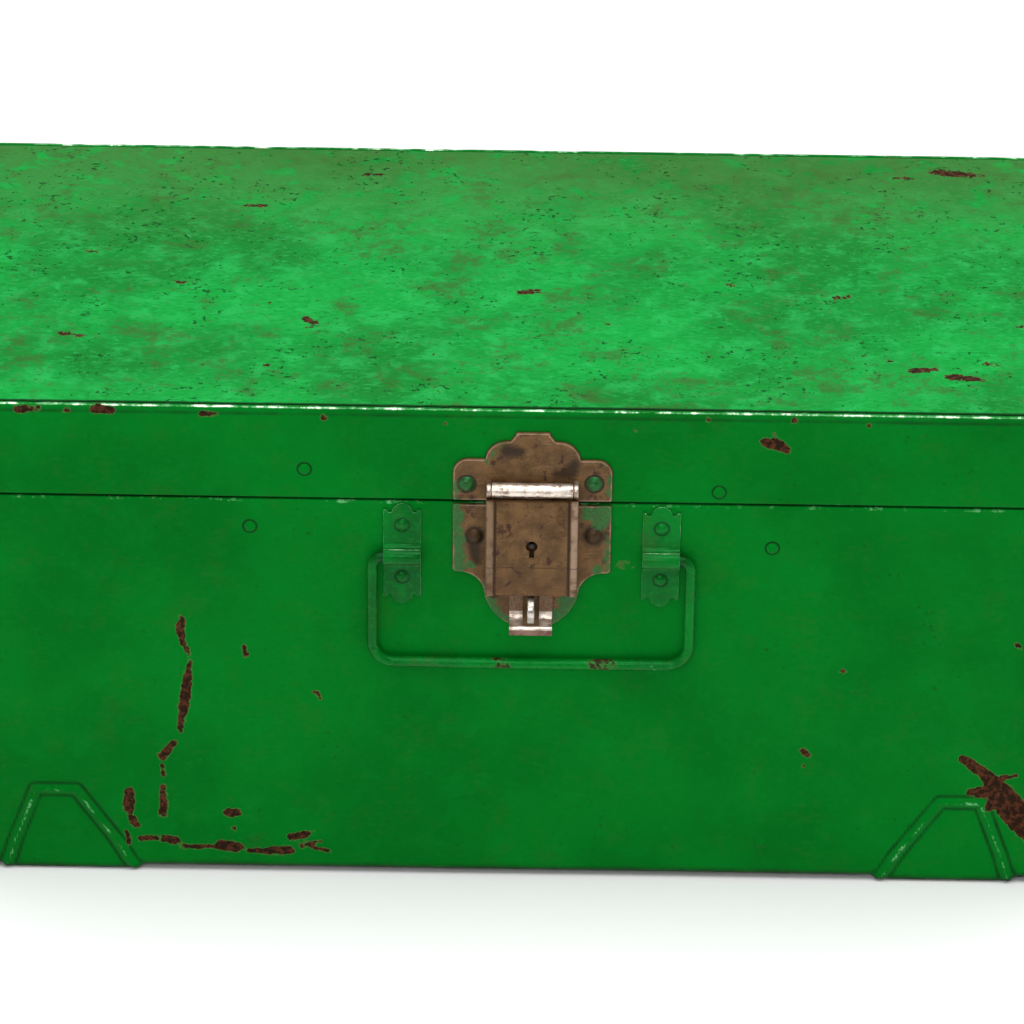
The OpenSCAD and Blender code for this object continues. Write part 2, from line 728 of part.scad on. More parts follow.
// bolt with a talon for the key's bit, drawn back; it slides to the right
module lock_bolt() color(steel) {
    body_h = 8.6;
    nose_x = striker_x - 0.6;
    // the body stops short of the striker when the bolt is shot
    body_end = striker_x - bolt_travel - 0.3;
    slot_len = bolt_travel + 2 * stump_r + 0.3;
    on_front(lock_x, seam_z - striker_drop) translate([0, 0, bolt_back]) linear_extrude(bolt_t) difference() {
        union() {
            translate([nose_x - bolt_len, -bolt_nose_h]) square([body_end - nose_x + bolt_len, body_h]);
            translate([body_end - over, -bolt_nose_h / 2]) square([nose_x - body_end + over, bolt_nose_h]);
        }
        translate([stump_x - slot_len + stump_r + 0.15, -stump_r - 0.1]) square([slot_len, 2 * stump_r + 0.2]);
        translate([-1.6, body_h - bolt_nose_h - 2.4]) square([2, 2.4 + over]);
    }
}

// leaf spring that presses on the bolt's back edge
module bolt_spring() color(steel) {
    arc_r = 14;
    foot_z = 7.2;
    on_front(lock_x - 13.2, seam_z - striker_drop + foot_z) translate([0, 0, bolt_back]) {
        cylinder(r = 1.6, h = bolt_t);
        intersection() {
            translate([2, arc_r - 0.6, 0]) difference() {
                cylinder(r = arc_r, h = bolt_t);
                translate([0, 0, -over]) cylinder(r = arc_r - 0.5, h = bolt_t + 2 * over);
            }
            translate([0, -over, 0]) cube([8.5, 3.4, bolt_t]);
        }
    }
}

// ---------- lock on the case ----------

// outline of the lower plate: square shoulders, hollow sides and a round end
module lower_outline() {
    high = -seam_gap / 2 - 0.3;
    end_r = 17.5;
    hollow_r = 9;
    neck = 17.3;
    end_z = end_r - lower_h;
    // each hollow meets the round end at a tangent
    hollow_z = end_z - sqrt(pow(end_r + hollow_r, 2) - pow(neck + hollow_r, 2));
    shoulder_z = hollow_z + hollow_r;
    translate([-lock_w / 2, shoulder_z]) square([lock_w, high - shoulder_z]);
    difference() {
        translate([-neck - hollow_r, hollow_z]) square([2 * (neck + hollow_r), hollow_r + over]);
        for (s = [-1, 1]) translate([s * (neck + hollow_r), hollow_z]) circle(hollow_r);
    }
    translate([0, end_z]) circle(end_r);
}

module lock_lower_plate() color(bronze) difference() {
    on_front(lock_x, seam_z) linear_extrude(lock_t) lower_outline();
    at_lower_rivets() translate([0, 0, lock_t]) rivet_hole(lock_t);
}

module lock_lower_rivets() color(bronze)
    at_lower_rivets() translate([0, 0, lock_t]) rivet(lock_rivet_r, 1.5, lock_t + sheet);

// loop for a padlock, standing edge-on in the slot of the tongue
module padlock_staple() color(steel) {
    eye_out = hasp_back + tongue_t + eye_r + 0.3;
    difference() {
        on_front(lock_x - staple_t / 2, seam_z - staple_drop) rotate([0, 90, 0]) {
            translate([-eye_out, 0, 0]) cylinder(r = staple_r, h = staple_t);
            translate([-eye_out, -staple_r, 0]) cube([eye_out - lock_t, 2 * staple_r, staple_t]);
        }
        on_front(lock_x, seam_z - staple_drop) translate([0, 0, eye_out]) bar_x(eye_r, staple_t + 2 * over);
        // the foot stands on the plate
        on_front(lock_x - staple_t, seam_z - staple_drop - staple_r)
            translate([0, 0, lock_t - 2 * staple_r]) cube([2 * staple_t, 2 * staple_r, 2 * staple_r]);
    }
}

// hidden loop that the bolt shoots through
module lock_striker() color(steel) difference() {
    on_front(lock_x + striker_x, seam_z - striker_drop) translate([0, -striker_h / 2, lock_t])
        cube([striker_t, striker_h, striker_out - lock_t - 0.4]);
    on_front(lock_x + striker_x, seam_z - striker_drop)
        translate([-over, -bolt_nose_h / 2 - 0.5, bolt_back - 0.5])
            cube([striker_t + 2 * over, bolt_nose_h + 1, bolt_t + 1]);
}

// ---------- handle ----------

// outline of a bracket: at each end a round lobe between two small ears, with a hollow beside it
module bracket_outline() {
    lobe_r = 3.7;
    ear = 2.7;
    hollow_r = 1.1;
    high = handle_drop - bracket_top;
    low = high - bracket_h;
    difference() {
        translate([-bracket_w / 2, low + ear]) square([bracket_w, bracket_h - 2 * ear]);
        for (x = [-1, 1], y = [low + ear, high - ear])
            translate([x * (lobe_r + hollow_r * 0.7), y]) circle(hollow_r);
    }
    for (y = [low + lobe_r, high - lobe_r]) translate([0, y]) circle(lobe_r);
}

module handle_bracket(x) color(paint) {
    skirt = loop_out_r + loop_fillet;
    difference() {
        on_front(lock_x + x, handle_z) union() {
            linear_extrude(bracket_t) bracket_outline();
            translate([0, 0, wire_out]) bar_x(loop_out_r, bracket_w);
            translate([-bracket_w / 2, -loop_out_r, 0]) cube([bracket_w, 2 * loop_out_r, wire_out]);
            difference() {
                translate([-bracket_w / 2, -skirt, bracket_t / 2])
                    cube([bracket_w, 2 * skirt, loop_fillet + bracket_t / 2]);
                for (s = [-1, 1]) translate([0, s * skirt, bracket_t + loop_fillet])
                    bar_x(loop_fillet, bracket_w + 2 * over);
            }
        }
        on_front(lock_x + x, handle_z) {
            translate([0, 0, wire_out]) bar_x(loop_r, bracket_w + 2 * over);
            translate([-bracket_w / 2 - over, -loop_r, -over]) cube([bracket_w + 2 * over, 2 * loop_r, wire_out + over]);
        }
        // nothing reaches into the sheet behind
        on_front(lock_x + x, handle_z) translate([-bracket_w / 2 - over, -bracket_h, -2 * loop_out_r])
            cube([bracket_w + 2 * over, 2 * bracket_h, 2 * loop_out_r]);
        at_bracket_rivets() translate([0, 0, bracket_t]) rivet_hole(bracket_t);
    }
}

module handle_bracket_left() handle_bracket(-bracket_x);
module handle_bracket_right() handle_bracket(bracket_x);

module handle_bracket_rivets() color(paint)
    at_bracket_rivets() translate([0, 0, bracket_t]) rivet(bracket_rivet_r, 1.1, bracket_t + sheet);

// one wire: its ends turn inwards through the brackets
module handle_bail() color(paint) {
    end_x = bracket_x - bracket_w / 2 + 0.6;
    turn_x = leg_x - handle_turn;
    leg_low = -handle_reach + handle_bend;
    on_front(lock_x, handle_z) translate([0, 0, wire_out]) {
        for (s = [-1, 1]) mirror([s < 0 ? 1 : 0, 0, 0]) {
            translate([(end_x + turn_x) / 2, 0, 0]) bar_x(wire_r, turn_x - end_x);
            translate([turn_x, -handle_turn, 0]) quarter_wire(handle_turn, wire_r);
            translate([leg_x, leg_low, 0]) rotate([-90, 0, 0])
                cylinder(r = wire_r, h = -handle_turn - leg_low);
            translate([leg_x - handle_bend, leg_low, 0]) rotate([0, 0, -90])
                quarter_wire(handle_bend, wire_r);
        }
        translate([0, -handle_reach, 0]) bar_x(wire_r, 2 * (leg_x - handle_bend));
    }
}

// ---------- tray ----------

// ring of round wire around a rounded rectangle
module roll(w, d, r, z) {
    for (s = [-1, 1]) {
        translate([0, s * d / 2, z]) bar_x(roll_r, w - 2 * r);
        translate([s * w / 2, 0, z]) rotate([90, 0, 0]) cylinder(r = roll_r, h = d - 2 * r, center = true);
    }
    for (k = [0:3]) {
        sx = k == 0 || k == 3 ? 1 : -1;
        sy = k < 2 ? 1 : -1;
        translate([sx * (w / 2 - r), sy * (d / 2 - r), z]) rotate([0, 0, 90 * k]) quarter_wire(r, roll_r);
    }
}

module tray_pan() color(paint) {
    rim_r = tray_corner + rim_flange;
    difference() {
        union() {
            translate([0, 0, tray_base]) linear_extrude(tray_depth)
                rounded(2 * tray_x, 2 * tray_y, tray_corner);
            translate([0, 0, tray_top - tray_t]) linear_extrude(tray_t)
                rounded(2 * (tray_rim_x - roll_r), 2 * (tray_rim_y - roll_r), rim_r - roll_r);
            roll(2 * (tray_rim_x - roll_r), 2 * (tray_rim_y - roll_r), rim_r - roll_r, tray_top - roll_r);
        }
        translate([0, 0, tray_base + tray_t]) linear_extrude(tray_depth)
            rounded(2 * (tray_x - tray_t), 2 * (tray_y - tray_t), tray_corner - tray_t);
    }
}

// places its children at the two rivets of the handle loops, on the long divider's back face
module at_loop_rivets() {
    for (x = [-bail_loop_x, bail_loop_x])
        translate([x, tray_t / 2 + loop_tab_t, bail_z - tube_r - loop_tab * 0.55])
            rotate([-90, 0, 0]) children();
}

module tray_long_divider() color(paint) difference() {
    translate([-(tray_x - tray_t), -tray_t / 2, tray_base + tray_t])
        cube([2 * (tray_x - tray_t), tray_t, long_divider_h]);
    at_loop_rivets() rivet_hole(2 * tray_t + loop_tab_t);
}

// short divider across the back half of the tray
module tray_divider(place) color(paint) {
    x = (place + 1 - (dividers + 1) / 2) * 2 * tray_x / (dividers + 1);
    translate([x - tray_t / 2, tray_t / 2, tray_base + tray_t])
        cube([tray_t, tray_y - 1.5 * tray_t, divider_h]);
}

module tray_divider_left() tray_divider(0);
module tray_divider_middle() tray_divider(1);
module tray_divider_right() tray_divider(2);

// rolled loops on the long divider that hold the ends of the tray's handle
module tray_handle_loops() color(paint) difference() {
    for (x = [-bail_loop_x, bail_loop_x]) translate([x, 0, bail_z]) {
        bar_x(tube_r, loop_len);
        translate([-loop_len / 2, tray_t / 2, -tube_r - loop_tab]) cube([loop_len, loop_tab_t, loop_tab + tube_r]);
    }
    translate([0, 0, bail_z]) bar_x(bail_r + loop_clear, bail_w);
    at_loop_rivets() rivet_hole(loop_tab_t);
}

module tray_handle_rivets() color(steel) at_loop_rivets() rivet(2.4, 1, tray_t + loop_tab_t);

// wire bail, lying flat over the front of the tray
module tray_bail() color(steel) translate([0, 0, bail_z]) {
    end_x = bail_loop_x - loop_len / 2 - 1.2;
    turn_x = bail_w / 2 - bail_turn;
    corner = 6;
    for (s = [-1, 1]) mirror([s < 0 ? 1 : 0, 0, 0]) {
        translate([(end_x + turn_x) / 2, 0, 0]) bar_x(bail_r, turn_x - end_x);
        translate([turn_x, -bail_turn, 0]) quarter_wire(bail_turn, bail_r);
        translate([bail_w / 2, -bail_turn, 0]) rotate([90, 0, 0])
            cylinder(r = bail_r, h = bail_reach - corner - bail_turn);
        translate([bail_w / 2 - corner, corner - bail_reach, 0]) rotate([0, 0, -90])
            quarter_wire(corner, bail_r);
    }
    translate([0, -bail_reach, 0]) bar_x(bail_r, bail_w - 2 * corner);
}

// turned grip with rounded ends
module tray_grip() color(wood) translate([0, -bail_reach, bail_z]) rotate([0, 90, 0]) {
    end_r = 2;
    hole_r = bail_r + grip_clear;
    rotate_extrude() difference() {
        union() {
            translate([0, -grip_len / 2]) square([grip_r - end_r, grip_len]);
            translate([0, -grip_len / 2 + end_r]) square([grip_r, grip_len - 2 * end_r]);
            for (s = [-1, 1]) translate([grip_r - end_r, s * (grip_len / 2 - end_r)]) circle(end_r);
        }
        translate([0, -grip_len / 2 - over]) square([hole_r, grip_len + 2 * over]);
    }
}

// ---------- drawing ----------

case_wrap();
case_end_left();
case_end_right();
tray_rest_front_left();
tray_rest_front_right();
tray_rest_back_left();
tray_rest_back_right();
tray_rest_rivets();
hinge_case_leaf_left();
hinge_case_leaf_right();
hinge_pin_left();
hinge_pin_right();
hinge_case_rivets();
lock_lower_plate();
padlock_staple();
lock_striker();
lock_lower_rivets();
handle_bracket_left();
handle_bracket_right();
handle_bracket_rivets();
lid_skirt();
lid_top();
lid_lip();
lid_lip_rivets();
hinge_lid_leaf_left();
hinge_lid_leaf_right();
hinge_lid_rivets();
lock_upper_plate();
lock_upper_rivets();
hasp_pin();
hasp_plate();
hasp_cover();
key_post();
bolt_stump();
bolt_spring();
lock_bolt();
handle_bail();
tray_pan();
tray_long_divider();
tray_divider_left();
tray_divider_middle();
tray_divider_right();
tray_handle_loops();
tray_handle_rivets();
tray_bail();
tray_grip();
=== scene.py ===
"""Looks of a worn green steel toolbox with a hasp lock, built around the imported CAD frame.

Shapes are worked out in millimetres and put into meshes in metres, in the frame's own axes:
+Z up, -Y out of the front, +X to the right.
"""
import json
import math

import bmesh
import bpy
import numpy as np
from mathutils import Matrix, Vector
from mathutils.geometry import delaunay_2d_cdt


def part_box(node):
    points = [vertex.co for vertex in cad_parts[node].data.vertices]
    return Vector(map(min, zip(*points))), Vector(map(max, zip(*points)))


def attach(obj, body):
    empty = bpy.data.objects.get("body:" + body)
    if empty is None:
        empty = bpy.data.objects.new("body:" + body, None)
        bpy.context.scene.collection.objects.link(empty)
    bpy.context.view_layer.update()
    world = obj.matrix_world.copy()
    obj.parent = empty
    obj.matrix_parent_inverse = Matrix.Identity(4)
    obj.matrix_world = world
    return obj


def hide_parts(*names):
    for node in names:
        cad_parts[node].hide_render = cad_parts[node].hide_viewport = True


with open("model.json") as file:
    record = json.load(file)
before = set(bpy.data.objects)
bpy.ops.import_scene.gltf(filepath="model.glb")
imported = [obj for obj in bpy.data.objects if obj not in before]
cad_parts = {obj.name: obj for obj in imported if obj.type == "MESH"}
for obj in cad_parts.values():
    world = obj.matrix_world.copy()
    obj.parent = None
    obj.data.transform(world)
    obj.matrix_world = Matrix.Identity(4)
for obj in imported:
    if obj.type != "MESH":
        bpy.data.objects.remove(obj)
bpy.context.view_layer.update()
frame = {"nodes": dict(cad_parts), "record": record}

MM = 0.001


# ---------- sizes taken from the frame, in millimetres ----------

def span(node):
    """Lowest and highest corner of a CAD node, in millimetres."""
    low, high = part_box(node)
    return np.array(low) / MM, np.array(high) / MM


WRAP_LOW, WRAP_HIGH = span("case_wrap")
SKIRT_LOW, SKIRT_HIGH = span("lid_skirt")
COVER_LOW, COVER_HIGH = span("hasp_cover")
HALF_W = SKIRT_HIGH[0]
HALF_D = SKIRT_HIGH[1]
TOP = SKIRT_HIGH[2]
CASE_TOP = WRAP_HIGH[2]
LID_LOW = SKIRT_LOW[2]
SEAM = (CASE_TOP + LID_LOW) / 2
LOCK_X = (COVER_LOW[0] + COVER_HIGH[0]) / 2
FRONT = -HALF_D
FOOT_X = [m for m in frame["record"]["mounts"] if m["name"] == "base"][0]["pos_m"][0] / MM

SHEET = 0.9          # thickness of the sheet
HEM = 7.0            # folded hem along the case's top edge
BEND = 3.0           # outer radius between walls and bottom
FOOT_H = 1.8         # height of the pressed feet
FOOT_HALF = 26.0     # half a foot's width
FOOT_D = 44.0        # a foot's depth from the front or back
BEAD_TOP = 35.0      # height of the raised triangle over a foot
BEAD_HALF = 7.5      # half the width of the triangle's flat top
BEAD_LEAN = 5.0      # the top leans this far towards the end of the box
BEAD_PROUD = 0.95    # how far the bead stands out
RIM = 0.95           # radius of the lid's rolled rim
CREVICE = 0.8        # gap between the rim and the lid's panel
FLANGE = 12.0        # width of the flange under the panel
PLATE_T = 1.2        # thickness of the lock's plates
MERGE = 1e-6         # metres within which two points of a new mesh are one
CAD_MERGE = 2e-6     # the same for a copy of a CAD node
SHARP = 35           # degrees from which an edge is shaded sharp
BEVELLED = 30        # degrees from which an edge of a CAD copy is rounded


# ---------- numbers and fields ----------

def smooth(t):
    """Smooth step of t from 0 to 1."""
    t = np.clip(t, 0, 1)
    return t * t * (3 - 2 * t)


def steps(*stops):
    """Values along a line: stops are value, spacing, value, spacing, ... value."""
    values = [np.array([float(stops[0])])]
    for i in range(0, len(stops) - 2, 2):
        a, gap, b = stops[i:i + 3]
        count = max(1, int(round(abs(b - a) / gap)))
        values.append(np.linspace(a, b, count + 1)[1:])
    return np.concatenate(values)


def waves(u, v, seed, size, height):
    """Sum of six sine waves of random direction and phase, wavelengths round size."""
    rng = np.random.default_rng(seed)
    total = np.zeros(np.broadcast(u, v).shape)
    for _ in range(6):
        angle = rng.uniform(0, math.tau)
        pull = math.tau / (size * rng.uniform(0.7, 1.6))
        total += np.sin((u * math.cos(angle) + v * math.sin(angle)) * pull + rng.uniform(0, math.tau))
    return total * height / 6


def line_distance(u, v, points):
    """Distance of every (u, v) from a line through the points."""
    nearest = np.full(np.broadcast(u, v).shape, 1e9)
    for (au, av), (bu, bv) in zip(points[:-1], points[1:]):
        du, dv = bu - au, bv - av
        t = np.clip(((u - au) * du + (v - av) * dv) / (du * du + dv * dv), 0, 1)
        nearest = np.minimum(nearest, np.hypot(u - au - t * du, v - av - t * dv))
    return nearest


CHIP_REACH = 6.0     # millimetres over which the chip field runs from 0 to 1


def chip_field(u, v, strokes):
    """0.5 at the outline of a chip, more inside: each stroke is a list of (u, v, half width)."""
    field = np.full(np.broadcast(u, v).shape, -1e9)
    for stroke in strokes:
        spots = stroke if len(stroke) > 1 else stroke * 2
        for (au, av, ar), (bu, bv, br) in zip(spots[:-1], spots[1:]):
            du, dv = bu - au, bv - av
            t = np.clip(((u - au) * du + (v - av) * dv) / max(du * du + dv * dv, 1e-9), 0, 1)
            field = np.maximum(field, ar + (br - ar) * t - np.hypot(u - au - t * du, v - av - t * dv))
    return np.clip(0.5 + field / CHIP_REACH, 0, 1)


# ---------- meshes ----------

def put_mesh(name, points, faces, fields=None):
    """Object with a mesh from points in millimetres; fields are per-point numbers for the material."""
    mesh = bpy.data.meshes.new(name)
    mesh.from_pydata((np.asarray(points, float) * MM).tolist(), [], faces)
    for key, values in (fields or {}).items():
        attribute = mesh.attributes.new(key, "FLOAT", "POINT")
        attribute.data.foreach_set("value", np.ascontiguousarray(values, np.float32).ravel())
    mesh.update()
    piece = bpy.data.objects.new(name, mesh)
    bpy.context.scene.collection.objects.link(piece)
    return piece


def tidy_mesh(piece):
    """Merges doubles, turns the faces outwards, and shades smooth except over sharp edges."""
    bm = bmesh.new()
    bm.from_mesh(piece.data)
    bmesh.ops.remove_doubles(bm, verts=bm.verts, dist=MERGE)
    bmesh.ops.dissolve_degenerate(bm, edges=bm.edges, dist=MERGE)
    bmesh.ops.recalc_face_normals(bm, faces=bm.faces)
    limit = math.radians(SHARP)
    for edge in bm.edges:
        edge.smooth = len(edge.link_faces) == 2 and edge.calc_face_angle(0) < limit
    for face in bm.faces:
        face.smooth = True
    bm.to_mesh(piece.data)
    bm.free()
    return piece


def quads(rows, columns, close_rows=False, close_columns=False, first=0):
    """Faces of a grid of rows x columns points, numbered row by row."""
    r = np.arange(rows if close_rows else rows - 1)[:, None]
    c = np.arange(columns if close_columns else columns - 1)[None, :]
    r2, c2 = (r + 1) % rows, (c + 1) % columns
    corners = [r * columns + c, r * columns + c2, r2 * columns + c2, r2 * columns + c]
    return (np.stack([k.ravel() for k in np.broadcast_arrays(*corners)], 1) + first).tolist()


def finish_piece(piece, body, material, replaces=()):
    """Gives a piece its material, its body, and the CAD nodes that it stands for."""
    piece.data.materials.clear()
    piece.data.materials.append(material)
    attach(piece, body)
    if replaces:
        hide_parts(*replaces)
    return piece


def arc(centre, radius, start, end, count):
    """Points on a circle from one angle to another, in degrees."""
    angle = np.radians(np.linspace(start, end, count))
    return np.stack([centre[0] + radius * np.cos(angle), centre[1] + radius * np.sin(angle)], 1)


def closed(loop):
    """The loop with its first point again at its end."""
    return np.vstack([loop, loop[:1]])


def inside_loop(u, v, loop):
    """True where a line from (u, v) to the right crosses the loop an odd number of times."""
    inside = np.zeros(len(u), bool)
    for (au, av), (bu, bv) in zip(loop, np.roll(loop, -1, 0)):
        if av != bv:
            crosses = (av > v) != (bv > v)
            inside ^= crosses & (u < (bu - au) * (v - av) / (bv - av) + au)
    return inside


def fill_outline(loop, spacing, inset):
    """Triangulates the inside of an outline: returns points and triangles. The inner points lie on a grid,
    at least inset from the outline."""
    low, high = loop.min(0), loop.max(0)
    gu, gv = np.meshgrid(np.arange(low[0], high[0], spacing), np.arange(low[1], high[1], spacing))
    gu, gv = gu.ravel() + spacing / 2, gv.ravel() + spacing / 2
    keep = inside_loop(gu, gv, loop) & (line_distance(gu, gv, closed(loop)) > inset)
    points = np.vstack([loop, np.stack([gu[keep], gv[keep]], 1)])
    n = len(loop)
    edges = [(i, (i + 1) % n) for i in range(n)]
    _, _, tris, origin, _, _ = delaunay_2d_cdt([Vector(p) for p in points], edges, [], 0, 1e-6)
    tris = [[origin[k][0] for k in t] for t in tris]
    centres = points[np.array(tris)].mean(1)
    kept = inside_loop(centres[:, 0], centres[:, 1], loop)
    return points, [t for t, ok in zip(tris, kept) if ok]


def inset_loop(loop, by):
    """Moves every point of a closed loop inwards along the mean normal of its two sides."""
    loop = np.asarray(loop, float)
    before, after = np.roll(loop, 1, 0), np.roll(loop, -1, 0)
    run = after - before
    run /= np.maximum(np.linalg.norm(run, axis=1, keepdims=True), 1e-9)
    area = np.sum(loop[:, 0] * after[:, 1] - after[:, 0] * loop[:, 1])
    normal = np.stack([-run[:, 1], run[:, 0]], 1) * (1 if area > 0 else -1)
    return loop + normal * by


def spread(loop, gap):
    """Points along a closed outline, at most gap apart, with the corners kept."""
    loop = np.asarray(loop, float)
    out = []
    for a, b in zip(loop, np.roll(loop, -1, 0)):
        count = max(1, int(math.ceil(np.linalg.norm(b - a) / gap)))
        out.append(a + (b - a) * np.linspace(0, 1, count + 1)[:-1, None])
    return np.vstack(out)


def on_front(points, x=0.0, z=0.0):
    """Places (right, up, out) points on the front sheet, with the origin at (x, z)."""
    p = np.asarray(points, float)
    return np.stack([p[:, 0] + x, FRONT - p[:, 2], p[:, 1] + z], 1)


def sheet_plate(outline, round_r, spacing, top):
    """Closed plate over an outline, in (right, up, out): its upper edge is a quarter round, its face follows
    top(u, v), and its back is flat. Returns points, faces and each point's distance from the outline."""
    n = len(outline)
    rings = [np.column_stack([outline, np.zeros(n)])]
    for angle in (0, 22.5, 45, 67.5):
        a = math.radians(angle)
        ring = inset_loop(outline, round_r * (1 - math.cos(a)))
        rings.append(np.column_stack([ring, top(ring[:, 0], ring[:, 1]) - round_r * (1 - math.sin(a))]))
    verts, tris = fill_outline(inset_loop(outline, round_r), spacing, spacing * 0.5)
    face = np.column_stack([verts, top(verts[:, 0], verts[:, 1])])
    back = np.column_stack([verts, np.zeros(len(verts))])
    points = np.vstack(rings + [face, back])
    edge = line_distance(points[:, 0], points[:, 1], closed(outline))
    faces = quads(len(rings), n, close_columns=True)
    start = len(rings) * n
    last = start - n
    faces += [[last + i, last + (i + 1) % n, start + (i + 1) % n, start + i] for i in range(n)]
    faces += [[start + k for k in t] for t in tris]
    under_start = start + len(verts)
    faces += [[under_start + k for k in reversed(t)] for t in tris]
    faces += [[(i + 1) % n, i, under_start + i, under_start + (i + 1) % n] for i in range(n)]
    return points, faces, edge


def sweep(path, radius, sides):
    """Tube along a path: rings stand square to the path, turned as little as possible."""
    run = np.gradient(path, axis=0)
    run /= np.linalg.norm(run, axis=1, keepdims=True)
    side = np.cross(run[0], (0.0, 0.0, 1.0) if abs(run[0][2]) < 0.9 else (0.0, 1.0, 0.0))
    side /= np.linalg.norm(side)
    angle = np.linspace(0, math.tau, sides, endpoint=False)
    rings = []
    for p, t, r in zip(path, run, radius):
        side = side - t * np.dot(side, t)
        side /= np.linalg.norm(side)
        other = np.cross(t, side)
        rings.append(p + r * (np.cos(angle)[:, None] * side + np.sin(angle)[:, None] * other))
    points = np.vstack(rings)
    faces = quads(len(path), sides, close_columns=True)
    faces += [list(range(sides)), list(range(len(points) - sides, len(points)))]
    return points, faces


def softened(node, width, segments=2):
    """Copy of a CAD node with its doubles merged and its sharp edges rounded by width millimetres."""
    source = frame["nodes"][node]
    piece = bpy.data.objects.new(node + "_soft", source.data.copy())
    bpy.context.scene.collection.objects.link(piece)
    bm = bmesh.new()
    bm.from_mesh(piece.data)
    bmesh.ops.remove_doubles(bm, verts=bm.verts, dist=CAD_MERGE)
    bmesh.ops.dissolve_limit(bm, angle_limit=math.radians(0.5), verts=bm.verts, edges=bm.edges)
    limit = math.radians(BEVELLED)
    sharp = [e for e in bm.edges if len(e.link_faces) == 2 and e.calc_face_angle(0) > limit]
    made = bmesh.ops.bevel(bm, geom=sharp, offset=width * MM, segments=segments, profile=0.5,
                           affect="EDGES", clamp_overlap=True)
    bm.verts.index_update()
    round_faces = {face for face in made["faces"] if face.is_valid}
    inner = {v.index for v in bm.verts if v.link_faces and round_faces.issuperset(v.link_faces)}
    rub_and_highlight = bm.verts.layers.float.new("rub_and_highlight")
    for vert in bm.verts:
        vert[rub_and_highlight] = 1.0 if vert.index in inner else 0.0
    bmesh.ops.remove_doubles(bm, verts=bm.verts, dist=CAD_MERGE)
    for edge in bm.edges:
        edge.smooth = len(edge.link_faces) == 2 and edge.calc_face_angle(0) < math.radians(50)
    for face in bm.faces:
        face.smooth = True
    bm.to_mesh(piece.data)
    bm.free()
    return piece


# ---------- materials ----------

